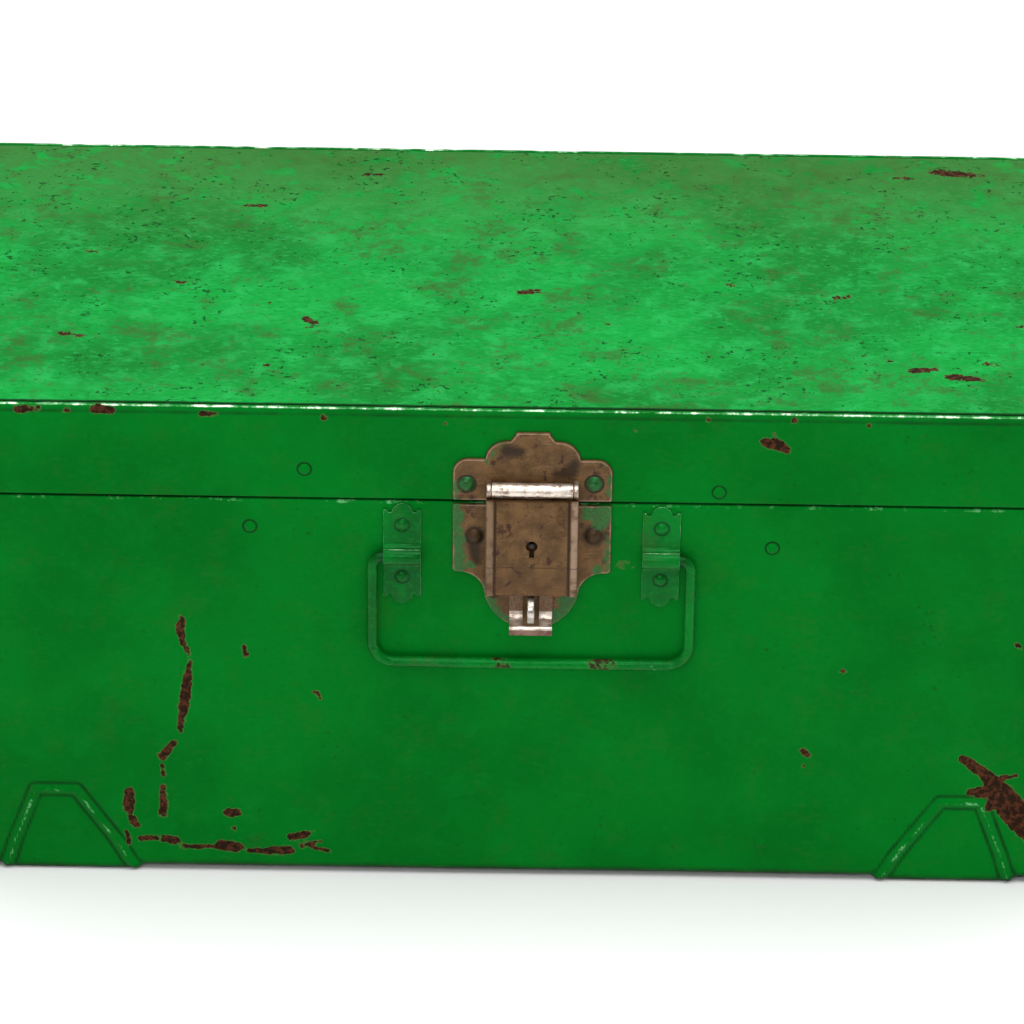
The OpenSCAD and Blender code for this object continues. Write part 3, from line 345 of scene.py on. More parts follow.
class Finish:
    """A material under construction: short calls that add nodes and link them to the shader."""

    def __init__(self, name):
        self.material = bpy.data.materials.new(name)
        self.material.use_nodes = True
        self.tree = self.material.node_tree
        self.shader = self.tree.nodes["Principled BSDF"]
        self.place = self.add("ShaderNodeTexCoord").outputs["Object"]

    def add(self, kind, **settings):
        """A new node with its settings."""
        node = self.tree.nodes.new(kind)
        for key, value in settings.items():
            setattr(node, key, value)
        return node

    def feed(self, socket, value):
        """Links a socket to the input, or sets the input's own value."""
        if isinstance(value, bpy.types.NodeSocket):
            self.tree.links.new(value, socket)
        else:
            socket.default_value = value

    def stretched(self, scale):
        """Coordinates scaled by (x, y, z), so that a pattern runs along an axis."""
        node = self.add("ShaderNodeMapping")
        self.feed(node.inputs["Vector"], self.place)
        node.inputs["Scale"].default_value = scale
        return node.outputs["Vector"]

    def noise(self, size, detail=3.0, rough=0.55, bend=0.0, place=None):
        """Noise whose blots are about size millimetres."""
        node = self.add("ShaderNodeTexNoise")
        self.feed(node.inputs["Vector"], place or self.place)
        node.inputs["Scale"].default_value = 1 / (size * MM)
        node.inputs["Detail"].default_value = detail
        node.inputs["Roughness"].default_value = rough
        node.inputs["Distortion"].default_value = bend
        return node.outputs["Fac"]

    def cells(self, size):
        """Distance to scattered points about size millimetres apart."""
        node = self.add("ShaderNodeTexVoronoi")
        self.feed(node.inputs["Vector"], self.place)
        node.inputs["Scale"].default_value = 1 / (size * MM)
        return node.outputs["Distance"]

    def step(self, value, low, high, to_low=0.0, to_high=1.0):
        """Smooth step: to_low below low, to_high above high."""
        node = self.add("ShaderNodeMapRange", interpolation_type="SMOOTHSTEP")
        self.feed(node.inputs["Value"], value)
        for key, number in (("From Min", low), ("From Max", high), ("To Min", to_low), ("To Max", to_high)):
            self.feed(node.inputs[key], number)
        return node.outputs["Result"]

    def sum(self, a, b, kind="ADD"):
        """a + b, or another operation on the two."""
        node = self.add("ShaderNodeMath", operation=kind)
        self.feed(node.inputs[0], a)
        self.feed(node.inputs[1], b)
        return node.outputs[0]

    def times(self, a, b):
        return self.sum(a, b, "MULTIPLY")

    def most(self, a, b):
        return self.sum(a, b, "MAXIMUM")

    def invert(self, a):
        return self.sum(1.0, a, "SUBTRACT")

    def gap(self, a, b):
        """How far a is from b."""
        return self.sum(self.sum(a, b, "SUBTRACT"), 0.0, "ABSOLUTE")

    def shifted(self, a):
        """a with its middle at 0, for noise that moves an outline both ways."""
        return self.sum(a, 0.5, "SUBTRACT")

    def field(self, name):
        """The piece's own per-point numbers of that name, and 0 where it has none."""
        return self.add("ShaderNodeAttribute", attribute_name=name).outputs["Fac"]

    def axis(self, which):
        """The place along X, Y or Z, in metres."""
        node = self.add("ShaderNodeSeparateXYZ")
        self.feed(node.inputs[0], self.place)
        return node.outputs[which]

    def mix(self, share, a, b):
        """Colour from a to b as share goes from 0 to 1."""
        node = self.add("ShaderNodeMix", data_type="RGBA")
        self.feed(node.inputs["Factor"], share)
        for socket, colour in ((node.inputs["A"], a), (node.inputs["B"], b)):
            self.feed(socket, (*colour, 1.0) if isinstance(colour, tuple) else colour)
        return node.outputs["Result"]

    def ring(self, x, z, radius, width):
        """1 on a thin ring of that radius round (x, z) of the front, in millimetres."""
        flat = self.add("ShaderNodeCombineXYZ")
        self.feed(flat.inputs["X"], self.axis("X"))
        self.feed(flat.inputs["Z"], self.axis("Z"))
        away = self.add("ShaderNodeVectorMath", operation="DISTANCE")
        self.feed(away.inputs[0], flat.outputs[0])
        away.inputs[1].default_value = (x * MM, 0, z * MM)
        return self.step(self.gap(away.outputs["Value"], radius * MM), 0, width * MM, 1.0, 0.0)

    def bump(self, height, depth, strength=1.0, under=None):
        """Normal of a surface raised by height times depth millimetres, over another normal if given."""
        node = self.add("ShaderNodeBump")
        self.feed(node.inputs["Height"], height)
        node.inputs["Distance"].default_value = depth * MM
        node.inputs["Strength"].default_value = strength
        if under is not None:
            self.feed(node.inputs["Normal"], under)
        return node.outputs["Normal"]

    def done(self, colour, roughness, normal, metal=0.0, gloss=0.5):
        """Feeds the shader and returns the finished material."""
        self.feed(self.shader.inputs["Base Color"], colour)
        self.feed(self.shader.inputs["Roughness"], roughness)
        self.feed(self.shader.inputs["Normal"], normal)
        self.feed(self.shader.inputs["Metallic"], metal)
        self.shader.inputs["Specular IOR Level"].default_value = gloss
        return self.material


def rust_colour(f):
    """Dark brown rust with redder and blacker spots, as on steel where the paint has gone."""
    warm = f.mix(f.step(f.noise(2.2, 4), 0.42, 0.62), (0.022, 0.007, 0.005), (0.085, 0.024, 0.012))
    return f.mix(f.step(f.noise(0.9, 3), 0.5, 0.72), warm, (0.010, 0.005, 0.005))


def green_paint(name, shade, worn, rings=(), gloss=0.10, rough=(0.36, 0.50), faded_back=False):
    """Brushed-on green repaint over old paint. shade is (deep, main, light); worn is 0 for sound paint and
    1 for the pitted lid. The per-point fields of a piece place its chips, its rubbed edges together with
    painted highlights, and its dirt together with painted shade; rings are (x, z, radius) of dark lines of
    dirt and painted shade round rivets on the front. faded_back lets the old brownish coat through towards
    the back."""
    f = Finish(name)
    deep, main, light = shade
    cloud = f.noise(11, 4, 0.6, 0.4)
    grain = f.noise(1.7, 4, 0.65)
    streaks = f.noise(1.6, 4, 0.7, 0.3, f.stretched((0.55, 1, 1)))
    colour = f.mix(f.step(f.noise(60, 3, 0.5), 0.36, 0.62), deep, main)
    colour = f.mix(f.times(f.step(cloud, 0.46, 0.7), 0.15 + 0.35 * worn), colour, light)
    colour = f.mix(f.times(f.step(streaks, 0.5, 0.72), 0.15 + 0.5 * worn), colour, light)
    colour = f.mix(f.times(f.step(streaks, 0.47, 0.30), 0.25 + 0.55 * worn), colour, deep)
    # thin places where the olive undercoat shows
    olive_at = f.step(f.sum(f.noise(17, 5, 0.7), f.times(streaks, 0.6)), 0.82, 0.98)
    colour = f.mix(f.times(olive_at, 0.06 + 0.55 * worn), colour, (0.036, 0.066, 0.012))
    if faded_back:
        towards_back = f.step(f.axis("Y"), 0.0, HALF_D * MM)
        patches = f.step(f.sum(cloud, f.times(streaks, 0.4)), 0.50, 0.74)
        colour = f.mix(f.times(f.times(towards_back, patches), 0.75), colour, (0.040, 0.125, 0.022))
    # small dark pits and short scratches, in clusters
    clusters = f.step(f.noise(21, 4, 0.6), 0.58 - 0.13 * worn, 0.70 - 0.10 * worn)
    pits = f.times(f.step(f.sum(f.noise(2.6, 4, 0.62), f.times(grain, 0.3)), 0.545, 0.515), clusters)
    holes = f.step(f.sum(f.cells(8.5), f.times(grain, 0.16)), 0.165, 0.12)
    pits = f.most(f.times(pits, 0.45 + 0.4 * worn), f.times(holes, 0.25 + 0.55 * worn))
    colour = f.mix(pits, colour, (0.006, 0.036, 0.008))
    # grime and painted shade: darker in grooves, recesses, insides and rings round rivets
    grime_and_shade = f.field("grime_and_shade")
    for x, z, radius in rings:
        grime_and_shade = f.most(grime_and_shade, f.times(f.ring(x, z, radius, 0.8), 0.8))
    grime_and_shade_at = f.times(f.step(f.sum(grime_and_shade, f.times(cloud, 0.5)), 0.45, 1.05), 0.9)
    colour = f.mix(grime_and_shade_at, colour, (0.004, 0.022, 0.005))
    # rubbed edges: pale worn paint, then bare steel; the same pale paint is a painted highlight along the
    # beads' crests and, with wear, along the lid's rolled rim
    rub_and_highlight = f.sum(f.field("rub_and_highlight"), f.times(f.shifted(f.noise(6, 5, 0.72)), 1.7))
    pale_at = f.step(rub_and_highlight, 0.55, 0.78)
    bare_at = f.step(rub_and_highlight, 0.82, 0.90)
    colour = f.mix(f.times(pale_at, 0.8), colour, (0.13, 0.42, 0.17))
    colour = f.mix(bare_at, colour, (0.66, 0.72, 0.60))
    # chips down to rusty steel, with a light broken edge
    chip = f.sum(f.field("chip"), f.times(f.shifted(f.noise(2.4, 5, 0.72)), 0.5 + 0.9 * worn))
    edge_at = f.step(chip, 0.43, 0.475)
    rust_at = f.step(chip, 0.49, 0.51)
    colour = f.mix(f.times(edge_at, 0.55), colour, (0.10, 0.16, 0.045))
    colour = f.mix(rust_at, colour, rust_colour(f))
    damage = f.most(rust_at, pits)
    roughness = f.sum(f.step(cloud, 0.35, 0.7, *rough), f.times(damage, 0.35))
    height = f.sum(f.times(f.invert(damage), 0.6), f.times(f.noise(3.2, 2), 0.22))
    normal = f.bump(height, 0.11)
    normal = f.bump(f.sum(f.times(grain, 0.6), streaks), 0.04 + 0.05 * worn, 1.0, normal)
    # green reflections: the old paint's gloss takes its colour
    f.shader.inputs["Specular Tint"].default_value = (0.16, 1.0, 0.36, 1.0)
    return f.done(colour, roughness, normal, f.times(bare_at, 0.6), gloss)


COVER_RIM = 13.3     # the cover's pressed rims start this far from its middle line
COVER_SCRATCH = 22.6  # height of the scratch across the cover, below the seam


def bronzed_steel(name, dark=1.0, rings=(), pressed=False):
    """Brown bronzed lock steel: stains, scratches and worn spots, with green where the paint field is high.
    pressed adds the cover's rims in pale colour as a painted highlight, paler on the right, dark lines of
    painted shade in the creases beside them, and the scratches on its face."""
    f = Finish(name)
    cloud = f.noise(7, 5, 0.62)
    speck = f.noise(0.8, 4, 0.7)
    long_marks = f.noise(1.0, 4, 0.75, 0, f.stretched((0.12, 1, 1)))
    tone = [tuple(k * dark for k in c) for c in ((0.085, 0.043, 0.014), (0.175, 0.094, 0.036))]
    colour = f.mix(f.step(cloud, 0.35, 0.68), *tone)
    colour = f.mix(f.times(f.step(speck, 0.52, 0.75), 0.75), colour, (0.040, 0.020, 0.010))
    colour = f.mix(f.times(f.step(long_marks, 0.56, 0.72), 0.5 * dark), colour, (0.26, 0.17, 0.11))
    stain = f.step(f.sum(f.noise(5, 3, 0.5, 0.6), f.times(speck, 0.25)), 0.70, 0.82)
    colour = f.mix(f.times(stain, 0.85), colour, (0.035, 0.012, 0.009))
    if pressed:
        across = f.gap(f.axis("X"), LOCK_X * MM)
        outer = f.step(f.axis("Y"), (FRONT - 6) * MM, (FRONT - 7) * MM)
        rim = f.times(f.step(across, (COVER_RIM + 0.6) * MM, (COVER_RIM + 1.3) * MM), outer)
        right = f.step(f.axis("X"), (LOCK_X - 2) * MM, (LOCK_X + 2) * MM, 0.35, 0.8)
        # painted highlight: the outer rims pale, more so on the right
        colour = f.mix(f.times(f.times(rim, right), f.step(cloud, 0.3, 0.55)), colour, (0.36, 0.25, 0.18))
        # painted shade: a dark line in the crease beside each rim; the scratch across the face is real
        line = f.step(f.gap(across, COVER_RIM * MM), 0.15 * MM, 0.75 * MM, 1.0, 0.0)
        wavy_z = f.sum(f.axis("Z"), f.times(f.noise(9, 2), 0.5 * MM))
        scratch = f.gap(wavy_z, (SEAM - COVER_SCRATCH) * MM)
        scratch = f.times(f.step(scratch, 0.05 * MM, 0.4 * MM, 1.0, 0.0), f.step(cloud, 0.4, 0.5))
        dirt_and_shade = f.times(f.most(line, f.times(scratch, 0.7)), outer)
        colour = f.mix(f.times(dirt_and_shade, 0.85), colour, (0.022, 0.009, 0.005))
        lower_part = f.step(f.axis("Z"), (SEAM - 21) * MM, (SEAM - 32) * MM)
        lower_part = f.times(lower_part, f.step(long_marks, 0.42, 0.62))
        colour = f.mix(f.times(lower_part, 0.5), colour, (0.105, 0.036, 0.014))
    # grime and painted shade: rings round the rivets and the plates' darkened foot, with real stains
    grime_and_shade = f.field("grime_and_shade")
    for x, z, radius in rings:
        grime_and_shade = f.most(grime_and_shade, f.ring(x, z, radius, 0.9))
    grime_and_shade_at = f.step(f.sum(grime_and_shade, f.times(speck, 0.4)), 0.45, 0.95)
    colour = f.mix(f.times(grime_and_shade_at, 0.85), colour, (0.018, 0.010, 0.005))
    rub_at = f.step(f.sum(f.field("rub_and_highlight"), f.times(cloud, 0.6)), 0.85, 1.2)
    colour = f.mix(f.times(rub_at, 0.7), colour, (0.40, 0.29, 0.21))
    metal = f.step(cloud, 0.3, 0.7, 0.35, 0.5)
    paint = f.sum(f.field("paint"), f.times(f.shifted(f.noise(2.8, 5, 0.72)), 1.2))
    paint = f.step(paint, 0.42, 0.72)
    green = f.mix(f.step(speck, 0.4, 0.7), (0.012, 0.085, 0.012), (0.006, 0.165, 0.022))
    colour = f.mix(f.times(paint, 0.9), colour, green)
    metal = f.times(metal, f.invert(paint))
    roughness = f.sum(f.step(cloud, 0.3, 0.7, 0.42, 0.58), f.times(rub_at, -0.15))
    normal = f.bump(f.sum(long_marks, speck), 0.05, 0.8)
    return f.done(colour, roughness, normal, metal, 0.3)


def bare_steel(name, dark, pale, rough=0.32, dirt_and_shade=0.5):
    """Bare steel worn bright by use, with brown dirt in its low places and fine marks along x."""
    f = Finish(name)
    cloud = f.noise(5, 5, 0.62)
    marks = f.noise(0.7, 4, 0.7, 0, f.stretched((0.15, 1, 1)))
    speck = f.noise(0.9, 4, 0.7)
    colour = f.mix(f.step(cloud, 0.35, 0.66), dark, pale)
    brown_at = f.times(f.step(f.sum(speck, f.times(cloud, 0.4)), 0.72, 0.92), dirt_and_shade)
    colour = f.mix(brown_at, colour, (0.10, 0.045, 0.020))
    grime_and_shade_at = f.step(f.sum(f.field("grime_and_shade"), f.times(speck, 0.3)), 0.5, 0.9)
    colour = f.mix(grime_and_shade_at, colour, (0.020, 0.010, 0.006))
    roughness = f.sum(f.step(marks, 0.3, 0.7, rough - 0.08, rough + 0.12), f.times(brown_at, 0.3))
    normal = f.bump(f.sum(marks, speck), 0.04, 0.8)
    return f.done(colour, roughness, normal, f.times(f.invert(brown_at), 0.9), 0.5)


ROLLER_LOW = 3.5     # lower side of the hasp's roller, above the seam
LOBES_TOP = 43.8     # the tongue's lobes run from here, below the seam
LOBES_LOW = 47.7     # down to here, where the finger lip turns out


def hasp_steel(name, pin_z):
    """Hasp plate: worn bright, with a painted highlight of near-white tan, on the roller and on the tongue's
    lobes, brown on the flat between them, and reddish on the finger lip."""
    f = Finish(name)
    cloud = f.noise(4, 5, 0.66)
    speck = f.noise(0.9, 4, 0.7)
    marks = f.noise(0.8, 4, 0.7, 0, f.stretched((0.15, 1, 1)))
    height = f.axis("Z")
    roller = f.step(height, (SEAM + ROLLER_LOW - 0.3) * MM, (SEAM + ROLLER_LOW + 0.3) * MM)
    lobes = f.times(f.step(height, (SEAM - LOBES_TOP + 0.6) * MM, (SEAM - LOBES_TOP - 0.6) * MM),
                    f.step(height, (SEAM - LOBES_LOW - 0.3) * MM, (SEAM - LOBES_LOW + 0.3) * MM))
    patchy = f.sum(cloud, f.times(speck, 0.4))
    # roller and lobes: worn bare steel, and a painted highlight that goes pale tan to near white
    worn = f.most(f.times(roller, f.step(patchy, 0.50, 0.64)), f.times(lobes, f.step(patchy, 0.44, 0.56)))
    brown = f.mix(f.step(speck, 0.34, 0.56), (0.050, 0.024, 0.011), (0.165, 0.086, 0.034))
    red = f.mix(f.step(cloud, 0.4, 0.6), (0.110, 0.036, 0.024), (0.22, 0.115, 0.08))
    lip = f.step(height, (SEAM - LOBES_LOW + 0.5) * MM, (SEAM - LOBES_LOW - 0.5) * MM)
    brown = f.mix(lip, brown, red)
    even = f.sum(f.times(marks, 0.4), f.times(cloud, 0.6))
    tan_and_highlight = f.mix(f.step(even, 0.36, 0.56), (0.24, 0.155, 0.105), (0.86, 0.76, 0.66))
    colour = f.mix(worn, brown, tan_and_highlight)
    # the dark line where the curled sheet meets the plate
    curl = f.step(f.gap(height, (pin_z - 1.5) * MM), 0.12 * MM, 0.42 * MM, 1.0, 0.0)
    curl = f.times(curl, f.step(speck, 0.35, 0.5))
    colour = f.mix(f.times(curl, 0.9), colour, (0.03, 0.014, 0.010))
    edge = f.step(f.sum(f.field("rub_and_highlight"), f.times(cloud, 0.6)), 0.85, 1.2)
    colour = f.mix(f.times(edge, 0.6), colour, (0.72, 0.62, 0.54))
    roughness = f.sum(f.step(marks, 0.3, 0.7, 0.26, 0.42), f.times(f.invert(worn), 0.2))
    normal = f.bump(f.sum(marks, f.sum(speck, cloud)), 0.09, 0.9)
    return f.done(colour, roughness, normal, f.times(worn, 0.85), 0.45)


def turned_wood(name):
    """Varnished beech grip: grain lines along x, darker where hands have worn the varnish."""
    f = Finish(name)
    rings = f.noise(2.4, 5, 0.6, 0.5, f.stretched((0.06, 1, 1)))
    pores = f.noise(0.5, 3, 0.6, 0, f.stretched((0.10, 1, 1)))
    worn = f.noise(16, 4)
    colour = f.mix(f.step(rings, 0.36, 0.66), (0.20, 0.085, 0.030), (0.42, 0.22, 0.095))
    colour = f.mix(f.times(f.step(pores, 0.56, 0.7), 0.6), colour, (0.07, 0.030, 0.012))
    colour = f.mix(f.times(f.step(worn, 0.52, 0.68), 0.5), colour, (0.11, 0.055, 0.026))
    roughness = f.step(worn, 0.35, 0.68, 0.34, 0.6)
    return f.done(colour, roughness, f.bump(f.sum(rings, pores), 0.06), 0.0, 0.4)


# ---------- case: one folded sheet ----------

# chips on the front: (x, z, half width) along each; x to the right, z up, in millimetres
FRONT_CHIPS = [
    [(-120.5, 109, 1.2), (-121, 104, 1.7), (-120.5, 99.5, 0.9)],
    [(-120, 98, 1.2), (-118.5, 94.5, 1.0)],
    [(-118, 91, 0.6), (-119, 82, 1.9), (-120.5, 72, 2.0), (-122, 61, 0.8)],
    [(-124.5, 56, 1.2), (-129, 50, 1.8)],
    [(-129, 46, 0.9), (-128.5, 42, 0.8)],
    [(-128.5, 38, 0.7), (-129, 32, 1.5), (-129, 25, 1.4)],
    [(-141.5, 34, 2.2), (-142, 27, 2.0)],
    [(-141, 23.5, 1.2), (-139.5, 20, 1.5)],
    [(-143, 17, 0.8), (-142, 12, 0.7)],
    [(-138, 14, 1.1), (-132, 14.5, 1.0)],
    [(-129, 14, 1.5), (-125, 13.5, 1.9)],
    [(-122, 10.8, 1.0), (-110, 11, 0.6), (-107, 11.5, 2.4), (-101, 11, 2.0)],
    [(-104.5, 26, 1.7), (-101.5, 26, 1.7)],
    [(-103, 19, 0.9)],
    [(-97, 9.6, 0.8), (-91, 9.2, 1.6), (-82, 10, 1.9)],
    [(-81, 15.5, 1.5), (-76, 17, 1.6), (-73.5, 18, 0.9)],
    [(-77, 12, 0.9), (-70, 14, 0.6)],
    [(-72, 11, 0.9), (-66, 9.5, 0.5)],
    [(-97.8, 97, 0.8), (-97.3, 94, 1.2)],
    [(-72, 79, 0.8), (-69, 75.5, 0.6)],
    [(-48, 35, 0.6), (-47, 33, 1.1)],
    [(123, 91, 1.2)], [(124, 84, 0.5)],
    [(109, 56.5, 1.2), (111, 55, 1.3)], [(109.5, 50, 0.7)],
    [(186, 103, 0.7), (188, 101.5, 0.6)],
    [(168.5, 54, 1.6), (173, 51, 2.2), (178, 47, 2.3), (183, 40, 4.6), (188, 33, 5.6), (194, 26, 5.5),
     (201, 18, 4.5)],
    [(172, 39.5, 1.2), (178, 40, 2.8)], [(180, 33.5, 1.9), (182, 36, 2.6)],
    [(184, 46, 1.0), (189, 47, 0.7)],
    [(38.5, 133.5, 1.4), (43.5, 133.5, 1.3)],
]
LID_FRONT_CHIPS = [
    [(91, 184.5, 1.8), (96, 183.5, 2.2), (99, 181.5, 1.4)], [(94, 187.5, 0.8)],
    [(-112, 193, 1.0), (-106, 192.5, 0.6)], [(-68, 192, 1.2)], [(-178, 193.5, 1.6), (-170, 194, 0.8)],
    [(-160, 193.5, 1.1)], [(-150, 194, 1.8), (-144, 193.5, 1.4)], [(70, 193, 0.9)], [(101, 193.5, 1.2)],
    [(52, 180, 0.7)], [(44, 188, 0.6)], [(-24, 190, 0.7)], [(128, 192, 0.8)],
]
# chips on the lid's panel: (x, y, half width)
LID_TOP_CHIPS = [
    [(-164, 14, 0.9), (-160, 14, 0.8)], [(-128, -12, 1.1), (-124, -12, 0.7)], [(-92, -29, 0.9)],
    [(-78, -42, 1.5), (-74, -46, 1.7)], [(-76, -49, 0.9)], [(-90, -82, 1.3)], [(2, -17, 1.7), (8, -16, 1.2)],
    [(81, -8, 1.2)], [(146, -79, 2.2), (154, -77, 1.4)], [(160, -84, 2.6), (170, -86, 1.7)],
    [(166, 101, 2.6), (176, 99, 2.3), (184, 98, 1.0)], [(150, 95, 1.4), (156, 94, 0.9)],
    [(120, -18, 1.2), (126, -16, 0.8)], [(35, -44, 0.9)], [(-106, 60, 1.2), (-98, 60, 1.0)],
    [(-168, -58, 1.0), (-160, -60, 0.8)], [(60, 36, 0.9)], [(104, 20, 0.8)], [(-20, 70, 0.9)],
    [(-60, 92, 1.6), (-54, 91, 0.9)], [(-186, 40, 0.9)], [(188, -40, 1.3)], [(-30, -72, 0.8)],
    [(173, -72, 1.0), (178, -74, 1.3)], [(138, -70, 1.1)], [(150, 30, 0.9)], [(-140, 88, 1.1)],
]


def bead_height(x, z):
    """Raised line over each foot: a rounded ridge along the triangle, with a faint groove on both sides."""
    u = np.abs(x) - FOOT_X
    line = [(-FOOT_HALF + 2, 3.2), (BEAD_LEAN - BEAD_HALF, BEAD_TOP), (BEAD_LEAN + BEAD_HALF, BEAD_TOP),
            (FOOT_HALF - 1.5, 3.2)]
    d = line_distance(u, z, line)
    ridge = BEAD_PROUD * (0.5 + 0.5 * np.cos(np.pi * np.clip(d / 2.0, 0, 1)))
    groove = 0.20 * np.exp(-((d - 2.7) / 0.8) ** 2)
    return ridge - groove, d


def foot_share(x):
    """1 over the feet, 0 between them, with a pressed slope of 2.4 mm."""
    u = np.abs(np.abs(x) - FOOT_X)
    return 1 - smooth((u - FOOT_HALF + 1.2) / 2.4)


def case_section():
    """The closed section of the case's sheet as rows of (y, z, wall direction, outer skin share): down the
    outside of the front, along the bottom, up the back, over the rolled hem, and back along the inside."""
    half, low, r, ri = HALF_D, FOOT_H + BEND, BEND, BEND - SHEET
    roll_z = CASE_TOP - SHEET
    hem_low = CASE_TOP - HEM
    rows = []

    def wall(y, zs, side, skin):
        rows.extend([y, z, side, 0.0, skin] for z in zs)

    def bend(side, radius, start, end, count, skin):
        for a in np.radians(np.linspace(start, end, count)):
            rows.append([side * (half - BEND + radius * math.cos(a)), low - radius * math.sin(a),
                         side * math.cos(a), -math.sin(a), skin])

    def roll(side, start, end, skin):
        for a in np.radians(np.linspace(start, end, 7)):
            rows.append([side * (half - SHEET + SHEET * math.cos(a)), roll_z + SHEET * math.sin(a),
                         side, 0.0, skin])

    wall(-half, steps(roll_z - 0.8, 2.8, 116, 1.5, 40, 0.9, low + 0.8), -1.0, 1.0)
    bend(-1, r, 0, 90, 7, 1.0)
    edge = half - FOOT_D
    end = half - BEND - 1
    bottom = steps(-end, 4, -edge - 2, 1, -edge + 2, 14, edge - 2, 1, edge + 2, 4, end)
    rows.extend([y, FOOT_H, 0.0, -1.0, 1.0] for y in bottom)
    bend(1, r, 90, 0, 7, 1.0)
    wall(half, steps(low + 0.8, 1.0, 40, 6.0, roll_z - 0.8), 1.0, 1.0)
    roll(1, 0, 180, 0.0)
    wall(half - 2 * SHEET, steps(roll_z - 1.2, 1.6, hem_low + 0.4), 1.0, 0.0)
    rows.append([half - 2 * SHEET + 0.3, hem_low, 1.0, 0.0, 0.0])
    wall(half - SHEET, steps(hem_low - 0.1, 8.0, 40, 2.4, low + 1), 1.0, -1.0)
    bend(1, ri, 0, 90, 5, -1.0)
    rows.extend([y, FOOT_H + SHEET, 0.0, -1.0, -1.0] for y in bottom[::-1])
    bend(-1, ri, 90, 0, 5, -1.0)
    wall(-half + SHEET, steps(low + 1, 2.4, 40, 8.0, hem_low - 0.1), -1.0, -1.0)
    rows.append([-half + 2 * SHEET - 0.3, hem_low, -1.0, 0.0, 0.0])
    wall(-half + 2 * SHEET, steps(hem_low + 0.4, 1.6, roll_z - 1.2), -1.0, 0.0)
    roll(-1, 180, 0, 0.0)
    return np.array(rows)


def case_sheet():
    """The section carried along x, with the beads, feet and a slight waviness pressed into it: each point
    moves along its wall's direction by the bead's height, and down by the foot's height."""
    rows = case_section()
    foot_in, foot_out = FOOT_X - FOOT_HALF - 3, FOOT_X + FOOT_HALF + 3
    half = steps(0, 5, 60, 2.6, 80, 1.5, foot_in, 1.0, foot_out, 2.4, HALF_W)
    x = np.concatenate([-half[:0:-1], half])
    y, z, out_y, out_z, skin = [c[:, None] for c in rows.T]
    gx, gy, gz = np.broadcast_arrays(x[None, :], y, z)
    bead, d = bead_height(gx, gz)
    top_share = smooth((CASE_TOP - gz) / 30)
    sway = waves(gx, gz, 5, 120, 0.28) * smooth((HALF_W - np.abs(gx)) / 25) * (0.25 + 0.75 * top_share)
    press = (bead * (skin != 0) + sway) * out_y
    share = foot_share(gx)
    reach = np.where(out_z == 0, 1 - smooth((gz - FOOT_H - BEND) / 9), 1.0)
    under = np.where(np.abs(out_y) < 0.01, smooth((np.abs(gy) - HALF_D + FOOT_D + 2) / 3), 1.0)
    drop = FOOT_H * share * reach * under
    points = np.stack([gx, gy + press, gz - drop], 2).reshape(-1, 3)
    chips = chip_field(gx, gz, FRONT_CHIPS) * (skin > 0) * (gy < 0)
    back_strokes = [[(x0 + 60, z0, r * 0.8) for x0, z0, r in stroke] for stroke in FRONT_CHIPS[8:20]]
    back = chip_field(-gx, gz, back_strokes)
    chips = np.maximum(chips, back * (skin > 0) * (gy > HALF_D - 1))
    # painted shade in the grooves beside each bead and over the inside of the sheet; darker along the bottom
    # 3.5 mm
    groove = 0.72 * np.exp(-((d - 2.7) / 0.95) ** 2) * (skin > 0)
    darker_near_bottom = np.exp(-(np.maximum(gz - FOOT_H, 0) / 3.5) ** 2) * 0.75 * (skin > 0)
    grime_and_shade = np.clip(np.maximum(groove, darker_near_bottom) + 0.25 * (skin < 0), 0, 1)
    # painted highlight: pale paint along each bead's crest; the hem's top edge is rubbed
    crest = np.exp(-(d / 1.0) ** 2) * 0.68
    lip = np.where((skin == 0) & (gz > CASE_TOP - 1.2), 0.52, 0.0)
    rub_and_highlight = np.maximum(crest * (skin > 0), lip)
    n = len(x)
    faces = quads(len(rows), n, close_rows=True)
    faces += [[i * n for i in range(len(rows))], [i * n + n - 1 for i in reversed(range(len(rows)))]]
    return put_mesh("case_sheet", points, faces, {"chip": chips, "grime_and_shade": grime_and_shade, "rub_and_highlight": rub_and_highlight})


# ---------- lid ----------

def ring_columns(front_gap, corner_count=5):
    """Columns round a rectangle, anticlockwise from the front's left: (sx, sy, ex, ey), where a point is
    (sx * (a - r) + ex * r, sy * (b - r) + ey * r) for half sizes a, b and corner radius r."""
    front = np.linspace(-1, 1, int(2 * HALF_W / front_gap) + 1)
    side = np.linspace(-1, 1, int(2 * HALF_D / 3.5) + 1)
    back = np.linspace(1, -1, int(2 * HALF_W / 3.5) + 1)
    turn = np.radians(np.linspace(0, 90, corner_count)[1:-1])
    columns = []
    columns += [(s, -1, 0, -1) for s in front]
    columns += [(1, -1, math.sin(t), -math.cos(t)) for t in turn]
    columns += [(1, s, 1, 0) for s in side]
    columns += [(1, 1, math.cos(t), math.sin(t)) for t in turn]
    columns += [(s, 1, 0, 1) for s in back]
    columns += [(-1, 1, -math.sin(t), math.cos(t)) for t in turn]
    columns += [(-1, -s, -1, 0) for s in side]
    columns += [(-1, -1, -math.cos(t), -math.sin(t)) for t in turn]
    return np.array(columns, float)


def ring_points(columns, inset, radius):
    """Points of the rectangle's ring at an inset from the box, rows for insets, columns round it."""
    r = np.maximum(radius - inset, 0.05)
    sx, sy, ex, ey = [c[None, :] for c in columns.T]
    return sx * (HALF_W - inset - r) + ex * r, sy * (HALF_D - inset - r) + ey * r


def edge_dents(x, y):
    """Small knocks along the lid's top edge, a few tenths of a millimetre."""
    along = np.where(np.abs(y) > HALF_D - 20, x, y + 300)
    return waves(along, along * 0.3, 21, 9, 0.30) + waves(along, along * 0.2, 22, 38, 0.34)


